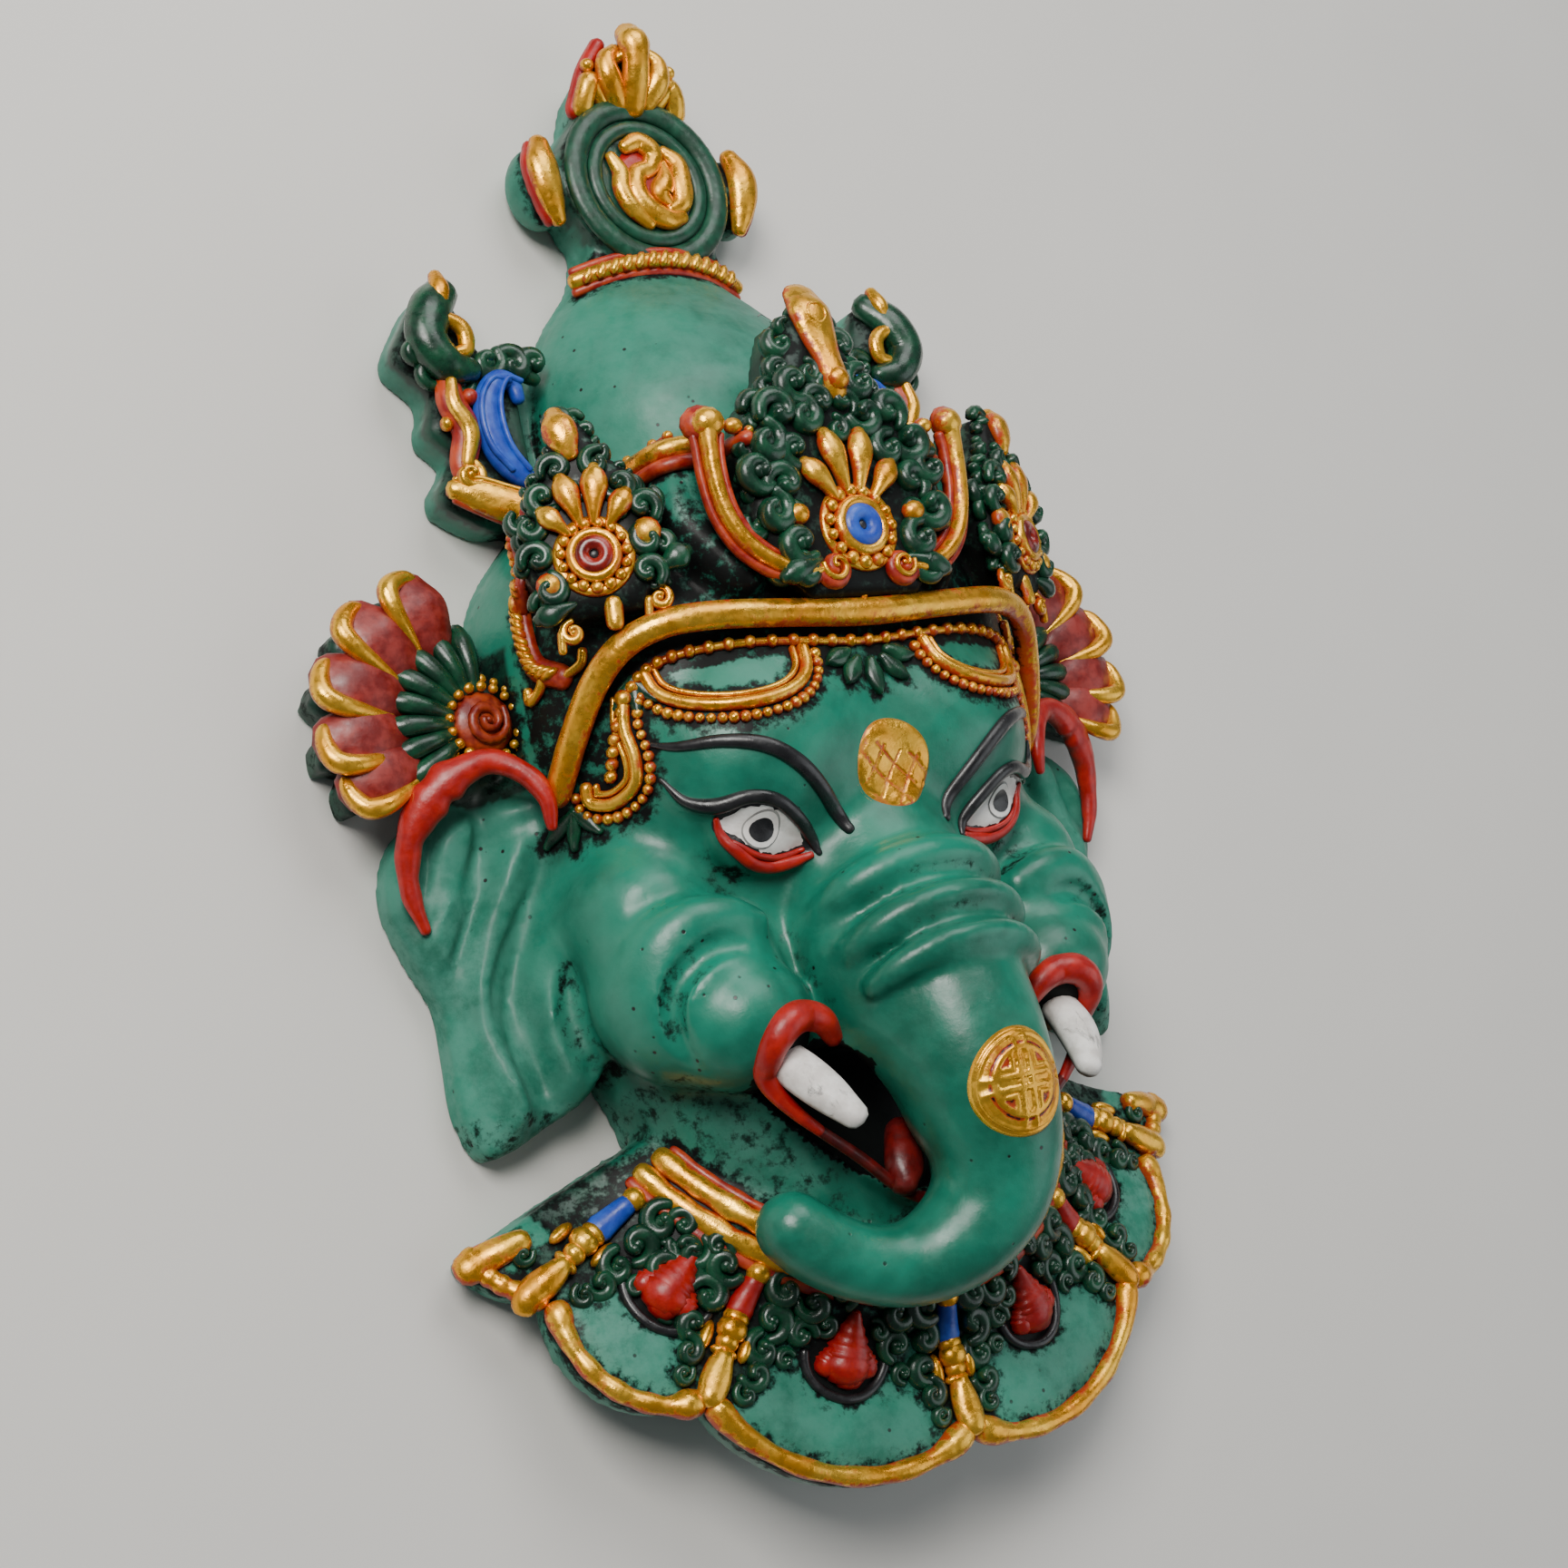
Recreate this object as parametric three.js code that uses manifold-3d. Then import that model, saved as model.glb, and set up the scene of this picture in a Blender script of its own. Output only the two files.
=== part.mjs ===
// A Ganesh mask, cast in one piece of filled resin: an elephant's head with ear fans, a three-leaf
// crown, a bun with a round ornament and a scalloped collar. The back is open and hollow.
// Millimetres: X is the viewer's right, Y runs up the mask, Z comes out of its flat back.
import * as THREE from "three";
import { mergeVertices } from "three/addons/utils/BufferGeometryUtils.js";
import Module from "manifold-3d";

const wasm = await Module();
wasm.setup();

// Driving sizes. The carving keeps its proportions: its points are in 250ths of the height.
const HEIGHT = 250;
const SHELL_WALL = 5.5;
const COLLAR_THICKNESS = 6;
const EAR_EDGE = 5;
const LEAF_THICKNESS = 8;
const HEADBAND_RADIUS = 2;
const BEADED_BAND_RADIUS = 1.2;
const NECK_BAND_RADIUS = 2.1;
const RIM_RADIUS = 1.7;
const LOOP_RADIUS = 1.5;
const U_FRAME_RADIUS = 2;
const SCARF_RADIUS = 2.5;
const LIP_RADIUS = 2;
const TUSK_RADIUS = 3.2;
const BROW_RADIUS = 1.3;
const TILAK_RADIUS = 8;
const MEDALLION_RADIUS = 8.4;
const ROSETTE_RADIUS = 7;
const DISC_RADIUS = 16.5;
const DISC_THICKNESS = 12;
const DISC_RING_RADIUS = 1.3;
const LOBE_HEIGHT = 15;
const PENDANT_RADIUS = 2.4;

const UNIT = HEIGHT / 250;
// How far out the side leaves of the crown stand, at the drawn height.
const SIDE_LEAF_X = 38.8;
const at = (x, y, z = 0) => new THREE.Vector3(x, y, z).multiplyScalar(UNIT);
const share = (...values) => values.map((value) => value * UNIT);
const SIDES = [-1, 1];
const radians = THREE.MathUtils.degToRad;
const { lerp, clamp } = THREE.MathUtils;

// Plan sections up the mask: height, half width, depth and power. A larger power squares a section.
const HEAD = [
  [56, 30, 25, 2.2],
  [62, 37, 29, 2.2],
  [68, 41, 31.5, 2.2],
  [74, 44, 32.5, 2.2],
  [80, 45.5, 33, 2.2],
  [86, 46.5, 34, 2.2],
  [92, 47.3, 35.5, 2.2],
  [98, 47.8, 38, 2.2],
  [104, 48.3, 41, 2.2],
  [111, 49, 43, 2.2],
  [119, 50, 43.5, 2.3],
  [127, 50, 42, 2.5],
  [134, 49.8, 42.5, 2.8],
  [147, 48, 42.5, 2.8],
  [156, 41, 38.5, 2.6],
  [165, 31, 30.5, 2.3],
];
const BUN = [
  [158, 27, 28, 2.3],
  [168, 28.5, 30, 2.3],
  [178, 29, 29.5, 2.3],
  [187, 28.5, 26, 2.3],
  [195, 26, 21, 2.3],
  [201, 21, 15, 2.3],
  [206, 15.5, 11, 2.3],
  [213, 12.5, 9, 2.3],
];
const NECK = [
  [31, 4, 27, 3],
  [35, 17, 28.5, 3],
  [43, 29, 28, 3],
  [54, 37, 27, 3],
  [68, 41, 28, 3],
];
const JAW = [
  [37, 2.5, 31, 3],
  [40, 9, 34, 3],
  [45, 15, 35.5, 3],
  [52, 23, 37, 3],
  [59, 30.5, 38, 3],
  [66, 35, 38.5, 3],
  [74, 36, 34, 3],
];
const THROAT = [[12, 14, 10, 2], [24, 22, 13, 2], [36, 24, 17, 2], [60, 26, 19, 2]];
const MOUTH = [[42, 4, 8, 2.2], [46, 10, 10, 2.2], [53, 18, 12, 2.2], [60, 25, 13, 2.2], [66, 29, 10, 2.2]];
const MOUTH_FLOOR = 28.5;

// Swellings of the head over its plain sections: the place, the reach and the lift of each.
const SWELLINGS = [
  { x: 31, y: 78, reach: 12, lift: 8 },
  { x: 24, y: 68, reach: 8, lift: 7 },
  { x: 22, y: 100, reach: 8, lift: 1.2 },
  { x: 0, y: 113, reach: 22, lift: 2.5 },
];
const swelling = (x, y) => SWELLINGS.reduce((sum, s) =>
  sum + s.lift * Math.exp(-((Math.abs(x) - s.x) ** 2 + (y - s.y) ** 2) / s.reach ** 2), 0);
const SECTION_STEPS = 12;

// The half width, depth and power of a form at a height.
function sizeAt(form, y) {
  let i = 0;
  while (i < form.length - 2 && form[i + 1][0] < y) i++;
  const [low, high] = [form[i], form[i + 1]];
  const t = clamp((y - low[0]) / (high[0] - low[0]), 0, 1);
  return [1, 2, 3].map((k) => lerp(low[k], high[k], t));
}

// The depth of a form over a point of its plan.
function depthAt(form, x, y) {
  const [halfWidth, depth, power] = sizeAt(form, y);
  const across = Math.min(Math.abs(x) / halfWidth, 1);
  return depth * Math.pow(1 - Math.pow(across, power), 1 / power);
}
const onHead = (x, y, lift = 0) => at(x, y, depthAt(HEAD, x, y) + swelling(x, y) + lift);

// The crown stands on a curve of its own in front of the head.
const TIARA = { halfWidth: 65, depth: 48 };
const tiaraDepth = (x) => TIARA.depth * Math.sqrt(1 - (x / TIARA.halfWidth) ** 2);
const onTiara = (x, y, lift = 0) => at(x, y, tiaraDepth(x) + lift);

// A solid from a three.js geometry, turned to face out.
function solid(geometry) {
  const bare = new THREE.BufferGeometry().setAttribute("position", geometry.getAttribute("position"));
  if (geometry.index) bare.setIndex(geometry.index);
  const merged = mergeVertices(bare, 1e-4);
  const triVerts = new Uint32Array(merged.index.array);
  const vertProperties = merged.attributes.position.array;
  const make = () => new wasm.Manifold(new wasm.Mesh({ numProp: 3, vertProperties, triVerts }));
  const made = make();
  if (made.volume() > 0) return made;
  for (let i = 0; i < triVerts.length; i += 3)
    [triVerts[i + 1], triVerts[i + 2]] = [triVerts[i + 2], triVerts[i + 1]];
  return make();
}

const union = (solids) => solids.reduce((whole, piece) => whole.add(piece));
const bothSides = (make) => SIDES.flatMap((side) => make(side));
const average = (points) =>
  points.reduce((sum, p) => sum.add(p), new THREE.Vector3()).divideScalar(points.length);

// A closed skin over a stack of rings with equally many points, capped at both ends.
function loft(rings, capCentres = [average(rings[0]), average(rings.at(-1))]) {
  const count = rings[0].length;
  const points = rings.flat();
  const faces = [];
  for (let i = 0; i + 1 < rings.length; i++)
    for (let j = 0; j < count; j++) {
      const [a, b] = [i * count + j, i * count + ((j + 1) % count)];
      faces.push(a, b, b + count, a, b + count, a + count);
    }
  for (const [end, start] of [[0, 0], [1, (rings.length - 1) * count]]) {
    const centre = points.push(capCentres[end]) - 1;
    for (let j = 0; j < count; j++) {
      const [a, b] = [start + j, start + ((j + 1) % count)];
      faces.push(...(end ? [a, b, centre] : [b, a, centre]));
    }
  }
  return solid(new THREE.BufferGeometry().setFromPoints(points).setIndex(faces));
}

// A domed form over the back plane. An inset makes the smaller form that hollows it.
function dome(form, { inset = 0, steps = SECTION_STEPS, bump = () => 0 } = {}) {
  const below = inset ? -1 : 0;
  const [first, last] = [form[0][0], form.at(-1)[0]];
  return loft(form.map(([y, halfWidth, depth, power]) => {
    const height = clamp(y * UNIT, first * UNIT + inset, last * UNIT - inset);
    const [a, b] = [halfWidth * UNIT - inset, depth * UNIT - inset];
    const ring = Array.from({ length: steps + 1 }, (_, k) => {
      const angle = (Math.PI * k) / steps;
      const bend = (v) => Math.sign(v) * Math.pow(Math.abs(v), 2 / power);
      const p = new THREE.Vector3(a * bend(Math.cos(angle)), 0, b * bend(Math.sin(angle)));
      const out = new THREE.Vector3(p.x / a ** 2, 0, p.z / b ** 2).normalize();
      return p.addScaledVector(out, bump(p.x / UNIT, y) * UNIT).setY(height);
    });
    ring[0].z = ring[steps].z = below;
    return ring;
  }));
}

// A tube of changing radius through the given points. Its ends come to a blunt point.
function tube(centres, radii, { sides = 3, steps = centres.length } = {}) {
  const bluntness = 0.7;
  const curve = new THREE.CatmullRomCurve3(centres);
  const radiusAt = (t) => {
    const place = t * (radii.length - 1);
    const i = Math.min(Math.floor(place), radii.length - 2);
    return lerp(radii[i], radii[i + 1], place - i);
  };
  const ring = (t) => {
    const along = curve.getTangent(t);
    const side = new THREE.Vector3(0, 0, 1).cross(along);
    if (side.lengthSq() < 0.02) side.set(1, 0, 0);
    side.normalize();
    const out = along.clone().cross(side).normalize();
    return Array.from({ length: sides }, (_, k) => {
      const angle = 2 * Math.PI * (0.25 + k / sides);
      return curve.getPoint(t)
        .addScaledVector(side, Math.cos(angle) * radiusAt(t))
        .addScaledVector(out, Math.sin(angle) * radiusAt(t));
    });
  };
  const tip = (t, sign) => curve.getPoint(t).addScaledVector(curve.getTangent(t), sign * bluntness * radiusAt(t));
  const rings = Array.from({ length: steps + 1 }, (_, i) => ring(i / steps));
  return loft(rings, [tip(0, -1), tip(1, 1)]);
}

const evenTube = (centres, radius, options) => tube(centres, [radius, radius], options);

function ball(centre, radii, across = 8, down = 5) {
  const g = new THREE.SphereGeometry(1, across, down);
  return solid(g.scale(...radii).translate(...centre));
}

// A turned boss standing on its axis, given as radius and height pairs.
function boss(profile, centre, turn = new THREE.Euler(), segments = 8) {
  const g = new THREE.LatheGeometry(profile.map(([r, h]) => new THREE.Vector2(r, h)), segments);
  g.rotateX(Math.PI / 2);
  const matrix = new THREE.Matrix4().makeRotationFromEuler(turn).setPosition(centre);
  return solid(g.applyMatrix4(matrix));
}

// A plate with a carved front: its outline shrinks to its middle in steps, and each point of it is
// lifted to the height that the carving gives there.
function carvedPlate(outline, middle, heightAt, { back = 0, layers = 2, points = 22 } = {}) {
  const edge = new THREE.CatmullRomCurve3(outline, true, "catmullrom", 0.3)
    .getSpacedPoints(points).slice(0, -1);
  const rings = [edge.map((p) => p.clone().setZ(back))];
  for (let i = 0; i <= layers; i++)
    rings.push(edge.map((p) => {
      const q = p.clone().lerp(middle, (0.92 * i) / layers);
      return q.setZ(heightAt(q.x / UNIT, q.y / UNIT, i / layers));
    }));
  const top = middle.clone().setZ(heightAt(middle.x / UNIT, middle.y / UNIT, 1));
  return loft(rings, [middle.clone().setZ(back), top]);
}

// The head with its brow, cheeks and jaw, and the bun behind the crown.
function head() {
  return [
    dome(HEAD, { bump: swelling }),
    dome(BUN, { steps: 10 }),
    dome(NECK, { steps: 8 }),
    dome(JAW, { steps: 10 }),
  ];
}

// The hollow back: head, bun and neck inside their wall, open downward under the collar.
function hollows() {
  const intoHead = [146, 26, 26, 2.3];
  const inside = [HEAD.filter((_, i) => i % 3 === 0), [intoHead, ...BUN.slice(2)], NECK];
  return [
    ...inside.map((form) => dome(form, { inset: SHELL_WALL, steps: 8 })),
    dome(THROAT, { inset: 0.01, steps: 6 }),
  ];
}

// The scoop of the mouth between the trunk and the lower lip.
const mouth = () => dome(MOUTH, { steps: 8 }).translate([0, 0, MOUTH_FLOOR * UNIT]);

// The trunk, with two folds across its root.
function trunk() {
  const centres = [
    at(0, 102, 25), at(0, 95, 29.5), at(0, 89, 33.2), at(0, 84, 36.5), at(0, 79, 39.5), at(0, 74, 42), at(0, 64, 45.5),
    at(0, 54, 46.5), at(0.5, 43, 45), at(-5, 34.5, 41.5), at(-14, 31.3, 38.5), at(-23, 33.5, 37), at(-31, 39, 35),
  ];
  const radii = share(15, 14.8, 15.2, 13.6, 14.6, 13.4, 13.4, 12.6, 10.4, 8.4, 6.4, 5.9, 6.1);
  return [tube(centres, radii, { sides: 10, steps: 15 })];
}

function tusksAndLips() {
  return bothSides((side) => {
    const tusk = [at(side * 28.5, 69, 33), at(side * 27, 64.5, 38), at(side * 25, 59.5, 42.5), at(side * 23, 54.8, 45.5)];
    const lip = [
      at(side * 18, 66, 38), at(side * 22, 70, 40.5), at(side * 28, 70.5, 39.5), at(side * 31.5, 66, 37.5),
      at(side * 30, 60, 38), at(side * 24.5, 54, 38), at(side * 17.7, 49, 36.5), at(side * 9, 42, 34.5), at(0, 38.5, 33.5),
    ];
    const radii = [TUSK_RADIUS, TUSK_RADIUS, TUSK_RADIUS * 0.85, TUSK_RADIUS * 0.4];
    return [tube(tusk, radii, { sides: 6, steps: 3 }), evenTube(lip, LIP_RADIUS, { sides: 4, steps: 8 })];
  });
}

function face() {
  const eyes = bothSides((side) => {
    const brow = [
      onHead(side * 36, 116.5), onHead(side * 28, 115), onHead(side * 19, 111.5, 0.6),
      onHead(side * 12.5, 105.5, 1), onHead(side * 9.2, 98.5, 2.5),
    ];
    return [
      evenTube(brow, BROW_RADIUS, { steps: 4 }),
      ball(at(side * 22.8, 99.3, 34.6), share(7.2, 4.8, 4), 7, 4),
    ];
  });
  const tilak = ball(at(0, 107.3, 44.6), [TILAK_RADIUS, TILAK_RADIUS, 3 * UNIT], 6, 8);
  const medallion = ball(at(0, 54.5, 54.5), [MEDALLION_RADIUS, MEDALLION_RADIUS, 3.4 * UNIT], 6, 8);
  return [...eyes, tilak, medallion];
}

// One ear: thin at the outer edge, with folds that run down to the tip.
function ear(side) {
  const outline = [
    [-44, 112], [-52, 118], [-62, 116], [-71.5, 108], [-71.5, 98], [-67.3, 90], [-65.5, 82.5],
    [-66.5, 74], [-66, 66], [-63, 59.5], [-57.5, 61.8], [-51, 63.8], [-45, 67.5], [-41, 76], [-38, 92],
  ].map(([x, y]) => at(-side * x, y));
  const root = { x: 42, y: 110 };
  const heightAt = (x, y, inward) => {
    const reach = Math.hypot(Math.abs(x) - root.x, y - root.y);
    const bearing = Math.atan2(Math.abs(x) - root.x, root.y - y);
    const fold = Math.cos(bearing * 9 + reach * 0.04) * 1.3 * clamp(reach / 20, 0, 1);
    const toHead = clamp((62 - Math.abs(x)) / 20, 0, 1);
    const body = 4.2 * UNIT * Math.min(inward * 2.5, 1) + 8 * UNIT * toHead * Math.min(inward * 3, 1);
    return EAR_EDGE + body + fold * UNIT * Math.min(inward * 3, 1);
  };
  return carvedPlate(outline, at(side * 54, 88), heightAt, { layers: 2, points: 28 });
}

// The fan over each ear: ridged petals and green pleats round a rosette, and the scarf below it.
const FAN_PETALS = [
  { bearing: 23, reach: 26 },
  { bearing: 47, reach: 27 },
  { bearing: 71, reach: 27 },
  { bearing: 94, reach: 26.5 },
  { bearing: 113, reach: 25.5 },
];
function earFan(side) {
  const hub = { x: 53.7, y: 126.5 };
  const spoke = (bearing, reach, z) =>
    at(side * (hub.x + reach * Math.sin(radians(bearing))), hub.y + reach * Math.cos(radians(bearing)), z);
  const edges = FAN_PETALS.flatMap(({ bearing, reach }) => [
    { bearing: bearing - 12, reach: reach * 0.86, ridge: 0 },
    { bearing: bearing - 6, reach: reach * 0.98, ridge: 0.8 },
    { bearing: bearing + 3, reach, ridge: 1 },
  ]);
  const rear = [128, 175, 225, 275, 325].map((bearing) => ({ bearing, reach: 12, ridge: 0 }));
  const layers = [
    { out: 1, height: () => 0 },
    { out: 1, height: ({ ridge }) => 6 + 3 * ridge },
    { out: 0.84, height: ({ ridge }) => 8 + 6 * ridge },
    { out: 0.6, height: ({ ridge }) => 8 + 4.5 * ridge },
    { out: 0.52, height: ({ ridge }) => 10 + 4 * ridge },
    { out: 0.2, height: () => 12 },
  ];
  const petals = loft(
    layers.map(({ out, height }) => [...edges, ...rear].map((p) => spoke(p.bearing, p.reach * out, height(p)))),
    [spoke(0, 0, 0), spoke(0, 0, 12)],
  );
  const edge = EAR_EDGE / UNIT;
  const scarf = [
    at(side * 45, 101, 20.5), at(side * 49.5, 108, 20.5), at(side * 53, 115.5, 18.5), at(side * 58.5, 117.8, 16),
    at(side * 66, 114, 13), at(side * 70.4, 107, edge + 3.5), at(side * 70, 99, edge + 1.5), at(side * 66.8, 92, edge + 1.5),
  ];
  const scarfRadii = [SCARF_RADIUS * 0.7, SCARF_RADIUS, SCARF_RADIUS, SCARF_RADIUS, SCARF_RADIUS * 0.6];
  return [petals, rosette(at(side * hub.x, hub.y, 13), 0), tube(scarf, scarfRadii)];
}

// A beaded flower with a stone in the middle, facing out at a turn about the mask's height.
function rosette(centre, turn) {
  const R = ROSETTE_RADIUS;
  const profile = [
    [0, -4], [R, -4], [R, 0.6], [R * 0.55, 1.6], [0, 3.4],
  ];
  return boss(profile, centre, new THREE.Euler(0, turn, 0));
}

// The pieces behind the crown's ends: a leafy hook with a crescent in it.
function sideOrnament(side) {
  const outline = [
    [27, 165], [25, 178], [28, 189], [34.5, 188.5], [38.5, 192], [42, 200.5], [46.5, 201.5], [51, 196],
    [54, 189.5], [49, 183.5], [50.5, 177], [47, 172.5], [50.4, 167], [49, 163.5], [40, 160],
  ].map(([x, y]) => at(side * x, y));
  const plate = carvedPlate(
    outline, at(side * 40, 179), (x, y, inward) => (7.5 + 3 * inward + 1.2 * Math.sin(x * 0.9) * Math.cos(y * 0.8)) * UNIT,
    { layers: 2, points: 22 },
  );
  const crescent = [
    at(side * 34.4, 184.3, 11.5), at(side * 38.6, 182.6, 12), at(side * 41, 176, 12), at(side * 38.6, 169.8, 12),
    at(side * 34.4, 166.6, 11.5),
  ];
  const hook = [
    at(side * 46.5, 199, 7.5), at(side * 48.5, 193.5, 9), at(side * 45, 189, 10.5), at(side * 40.5, 190.5, 10),
  ];
  const foot = [
    at(side * 46.5, 184, 11), at(side * 45.4, 177, 12), at(side * 47, 169, 11), at(side * 42.5, 164, 12), at(side * 33, 162.5, 13),
  ];
  return [
    plate,
    tube(crescent, share(1.6, 3, 3.6, 3, 1.5), { steps: 4 }),
    tube(hook, share(2.8, 2.6, 2.2, 1.6), { steps: 3 }),
    tube(foot, share(1.6, 2.4, 2.1, 2.6, 1.8), { steps: 4 }),
  ];
}

// The round ornament over the bun: two rings on a disc with a raised scroll, a lobe on each side and
// a three-part finial.
function topOrnament() {
  const y = 222;
  const top = DISC_THICKNESS;
  const R = DISC_RADIUS;
  const inner = R * 0.66;
  const ring = DISC_RING_RADIUS;
  const disc = boss(
    [
      [0, 0], [R, 0], [R, top - 1.5], [R - ring, top], [R - 3 * ring, top - 1.8], [inner + ring, top - 1.8],
      [inner, top - 0.4], [inner - ring, top - 1.8], [0, top - 1],
    ],
    at(0, y), undefined, 14,
  );
  const turns = 7;
  const scroll = Array.from({ length: turns }, (_, k) => {
    const angle = radians(-60 + k * 60);
    const reach = lerp(7.2, 1.6, k / (turns - 1)) * UNIT;
    return new THREE.Vector3(reach * Math.cos(angle), y * UNIT + reach * Math.sin(angle) * 1.1, top - 0.4);
  });
  const lobes = bothSides((side) => {
    const centre = at(side * (R / UNIT + 3), y + 0.8, 6);
    return ball(centre, [5.2 * UNIT, LOBE_HEIGHT / 2, 5.6 * UNIT]);
  });
  const spine = carvedPlate(
    [at(-14, 205), at(-13, 212), at(-10.5, 236), at(-8.5, 241), at(-3, 248.4), at(0, 250), at(3, 248.4), at(8.5, 241), at(10.5, 236), at(13, 212), at(14, 205)],
    at(0, 224), (x, yy, inward) => (10 + inward) * UNIT, { layers: 1, points: 20 },
  );
  const knob = tube([at(0, 238, 10), at(0, 243.5, 13), at(0, 248.6, 15)], share(3, 3.4, 2.2), { steps: 3, sides: 6 });
  const petals = bothSides((side) => [
    tube([at(side * 2, 237, 11), at(side * 5, 239, 12.5), at(side * 7, 243, 12.5)], share(2.4, 2.8, 1.2), { steps: 3 }),
    ball(at(side * 8.8, 236.6, 10), share(2.2, 2.2, 2.6), 6, 4),
  ]);
  const band = Array.from({ length: 7 }, (_, k) => {
    const x = lerp(-16.5, 16.5, k / 6);
    return at(x, 207.3 - 4.2 * (x / 16.5) ** 2, 12.6 - 4.5 * (x / 16.5) ** 2);
  });
  return [
    disc, tube(scroll, share(2.6, 2.2, 1.8, 1.5), { steps: 9 }), ...lobes, spine, knob, ...petals,
    evenTube(band, BEADED_BAND_RADIUS * 1.4, { steps: 6 }),
  ];
}

// A crown leaf with curled edges, three petals and a rosette, standing on the tiara's curve.
function crownLeaf(x, low, tip, halfWidth, rosetteY) {
  const turn = Math.atan2(x / TIARA.halfWidth ** 2, tiaraDepth(x) / TIARA.depth ** 2);
  const length = tip - low;
  const half = [
    [0.55, 0], [0.8, 0.1], [1, 0.28], [0.9, 0.42], [0.98, 0.5], [0.72, 0.6], [0.74, 0.68], [0.42, 0.77], [0.36, 0.88], [0.2, 0.97],
  ].map(([w, h]) => [w * halfWidth, low + h * length]);
  const outline = [...half, [0, tip], ...half.toReversed().map(([w, h]) => [-w, h])].map(([w, h]) => at(w, h));
  const middle = low + 0.42 * length;
  const curl = (w, h) => 1.1 * Math.sin(w * 0.85) * Math.sin(h * 0.8);
  const thickness = LEAF_THICKNESS;
  const leaf = carvedPlate(
    outline, at(0, middle), (w, h, inward) => thickness + (curl(w, h) - 1.6 + 1.6 * Math.min(2 * inward, 1)) * UNIT,
    { layers: 1, points: 18 },
  );
  const front = thickness / UNIT;
  const petals = [-32, 0, 32].map((angle) => {
    const [dx, dy] = [Math.sin(radians(angle)), Math.cos(radians(angle))];
    const from = (distance, lift) => at(dx * distance, rosetteY + dy * distance, front + lift);
    return tube([from(5.5, 0.6), from(10, 1.6), from(14.2, 0.6)], share(1.5, 2.4, 1.4), { steps: 2 });
  });
  const stem = tube([at(0, tip - 1, front - 1.2), at(0, tip - 7, front - 0.6), at(0, tip - 14, front)], share(2.6, 3.2, 2), { steps: 2 });
  const place = new THREE.Matrix4().makeRotationY(turn).setPosition(onTiara(x, 0, -LEAF_THICKNESS / UNIT));
  const flower = rosette(at(0, rosetteY, front + 0.6), 0);
  const standing = union([leaf, ...petals, stem, flower]).transform(place.elements);
  const rootY = low + 0.25 * length;
  const rootRadius = share(0.45 * halfWidth, 0.45 * halfWidth);
  const root = tube([onHead(x, rootY, -SHELL_WALL / UNIT / 2), onTiara(x, rootY, -thickness / UNIT / 2)], rootRadius, { sides: 5, steps: 1 });
  return standing.add(root);
}

function crown() {
  const bands = [
    evenTube([
      at(-47, 112.5, 19), at(-46, 116.5, 22.5), at(-43.6, 125, 29), at(-40, 131, 34), at(-34, 133.4, 39), at(-22, 133, 42.3),
      at(0, 132, 43.8), at(22, 133, 42.3), at(34, 133.4, 39), at(40, 131, 34), at(43.6, 125, 29), at(46, 116.5, 22.5), at(47, 112.5, 19),
    ], HEADBAND_RADIUS, { steps: 16, sides: 4 }),
    evenTube([-26, -14, 0, 14, 26].map((x) => at(x, 163, depthAt(BUN, x * 0.95, 163) + 0.8)), BEADED_BAND_RADIUS * 1.5, { steps: 6 }),
  ];
  const frames = bothSides((side) => {
    const u = [
      onTiara(side * 23.6, 162, 1), onTiara(side * 24, 156, 0.6), onTiara(side * 23.4, 148.5, 0), onTiara(side * 19, 141.4, -0.5),
      onTiara(side * 13.5, 138.2, -0.5), onTiara(side * 8, 138, 0),
    ];
    const radii = [U_FRAME_RADIUS * 1.4, U_FRAME_RADIUS, U_FRAME_RADIUS, U_FRAME_RADIUS, U_FRAME_RADIUS * 1.3];
    const web = [at(side * 22.4, 160, 36), at(side * 22.4, 149, 38), at(side * 17, 140, 41)];
    const ribbon = [
      at(side * 43, 157, 24), at(side * 49, 149, 22), at(side * 49, 140, 21), at(side * 47, 131, 23), at(side * 44.5, 127, 26),
    ];
    return [
      tube(u, radii, { steps: 7 }),
      tube(web, share(4.5, 5, 5), { sides: 4, steps: 2 }),
      evenTube(ribbon, LOOP_RADIUS * 1.2, { steps: 5 }),
    ];
  });
  const loops = bothSides((side) => {
    const arc = Array.from({ length: 6 }, (_, k) => {
      const angle = Math.PI * (k / 5);
      const x = side * (23.8 - 11.6 * Math.cos(angle));
      return onHead(x, 126.6 - 7.6 * Math.sin(angle), 0.8);
    });
    const temple = Array.from({ length: 7 }, (_, k) => {
      const angle = radians(200 - k * 50);
      return onHead(side * (42.4 + 3.2 * Math.cos(angle)), 114.5 + 8.2 * Math.sin(angle), 0.3);
    });
    return [evenTube(arc, LOOP_RADIUS, { steps: 6 }), evenTube(temple, LOOP_RADIUS, { steps: 6 })];
  });
  const leaves = [crownLeaf(0, 134, 183, 19, 144.8), ...bothSides((side) => [crownLeaf(side * SIDE_LEAF_X, 136, 168.5, 11, 145)])];
  return [...bands, ...frames, ...loops, ...leaves];
}

// The collar in plan: a fan of scalloped lobes about a point, from the neck out to its rim.
const COLLAR = { centreY: 73, neck: 41, cusp: 69.5, bulge: 7, ends: 69 };
const LOBES = [
  { from: 0, to: 37.8, steps: 6 },
  { from: 37.8, to: 59.5, steps: 4 },
  { from: 59.5, to: COLLAR.ends, steps: 2 },
];
const PENDANTS = [-61.6, -37.8, 0, 37.8, 61.6];

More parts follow.
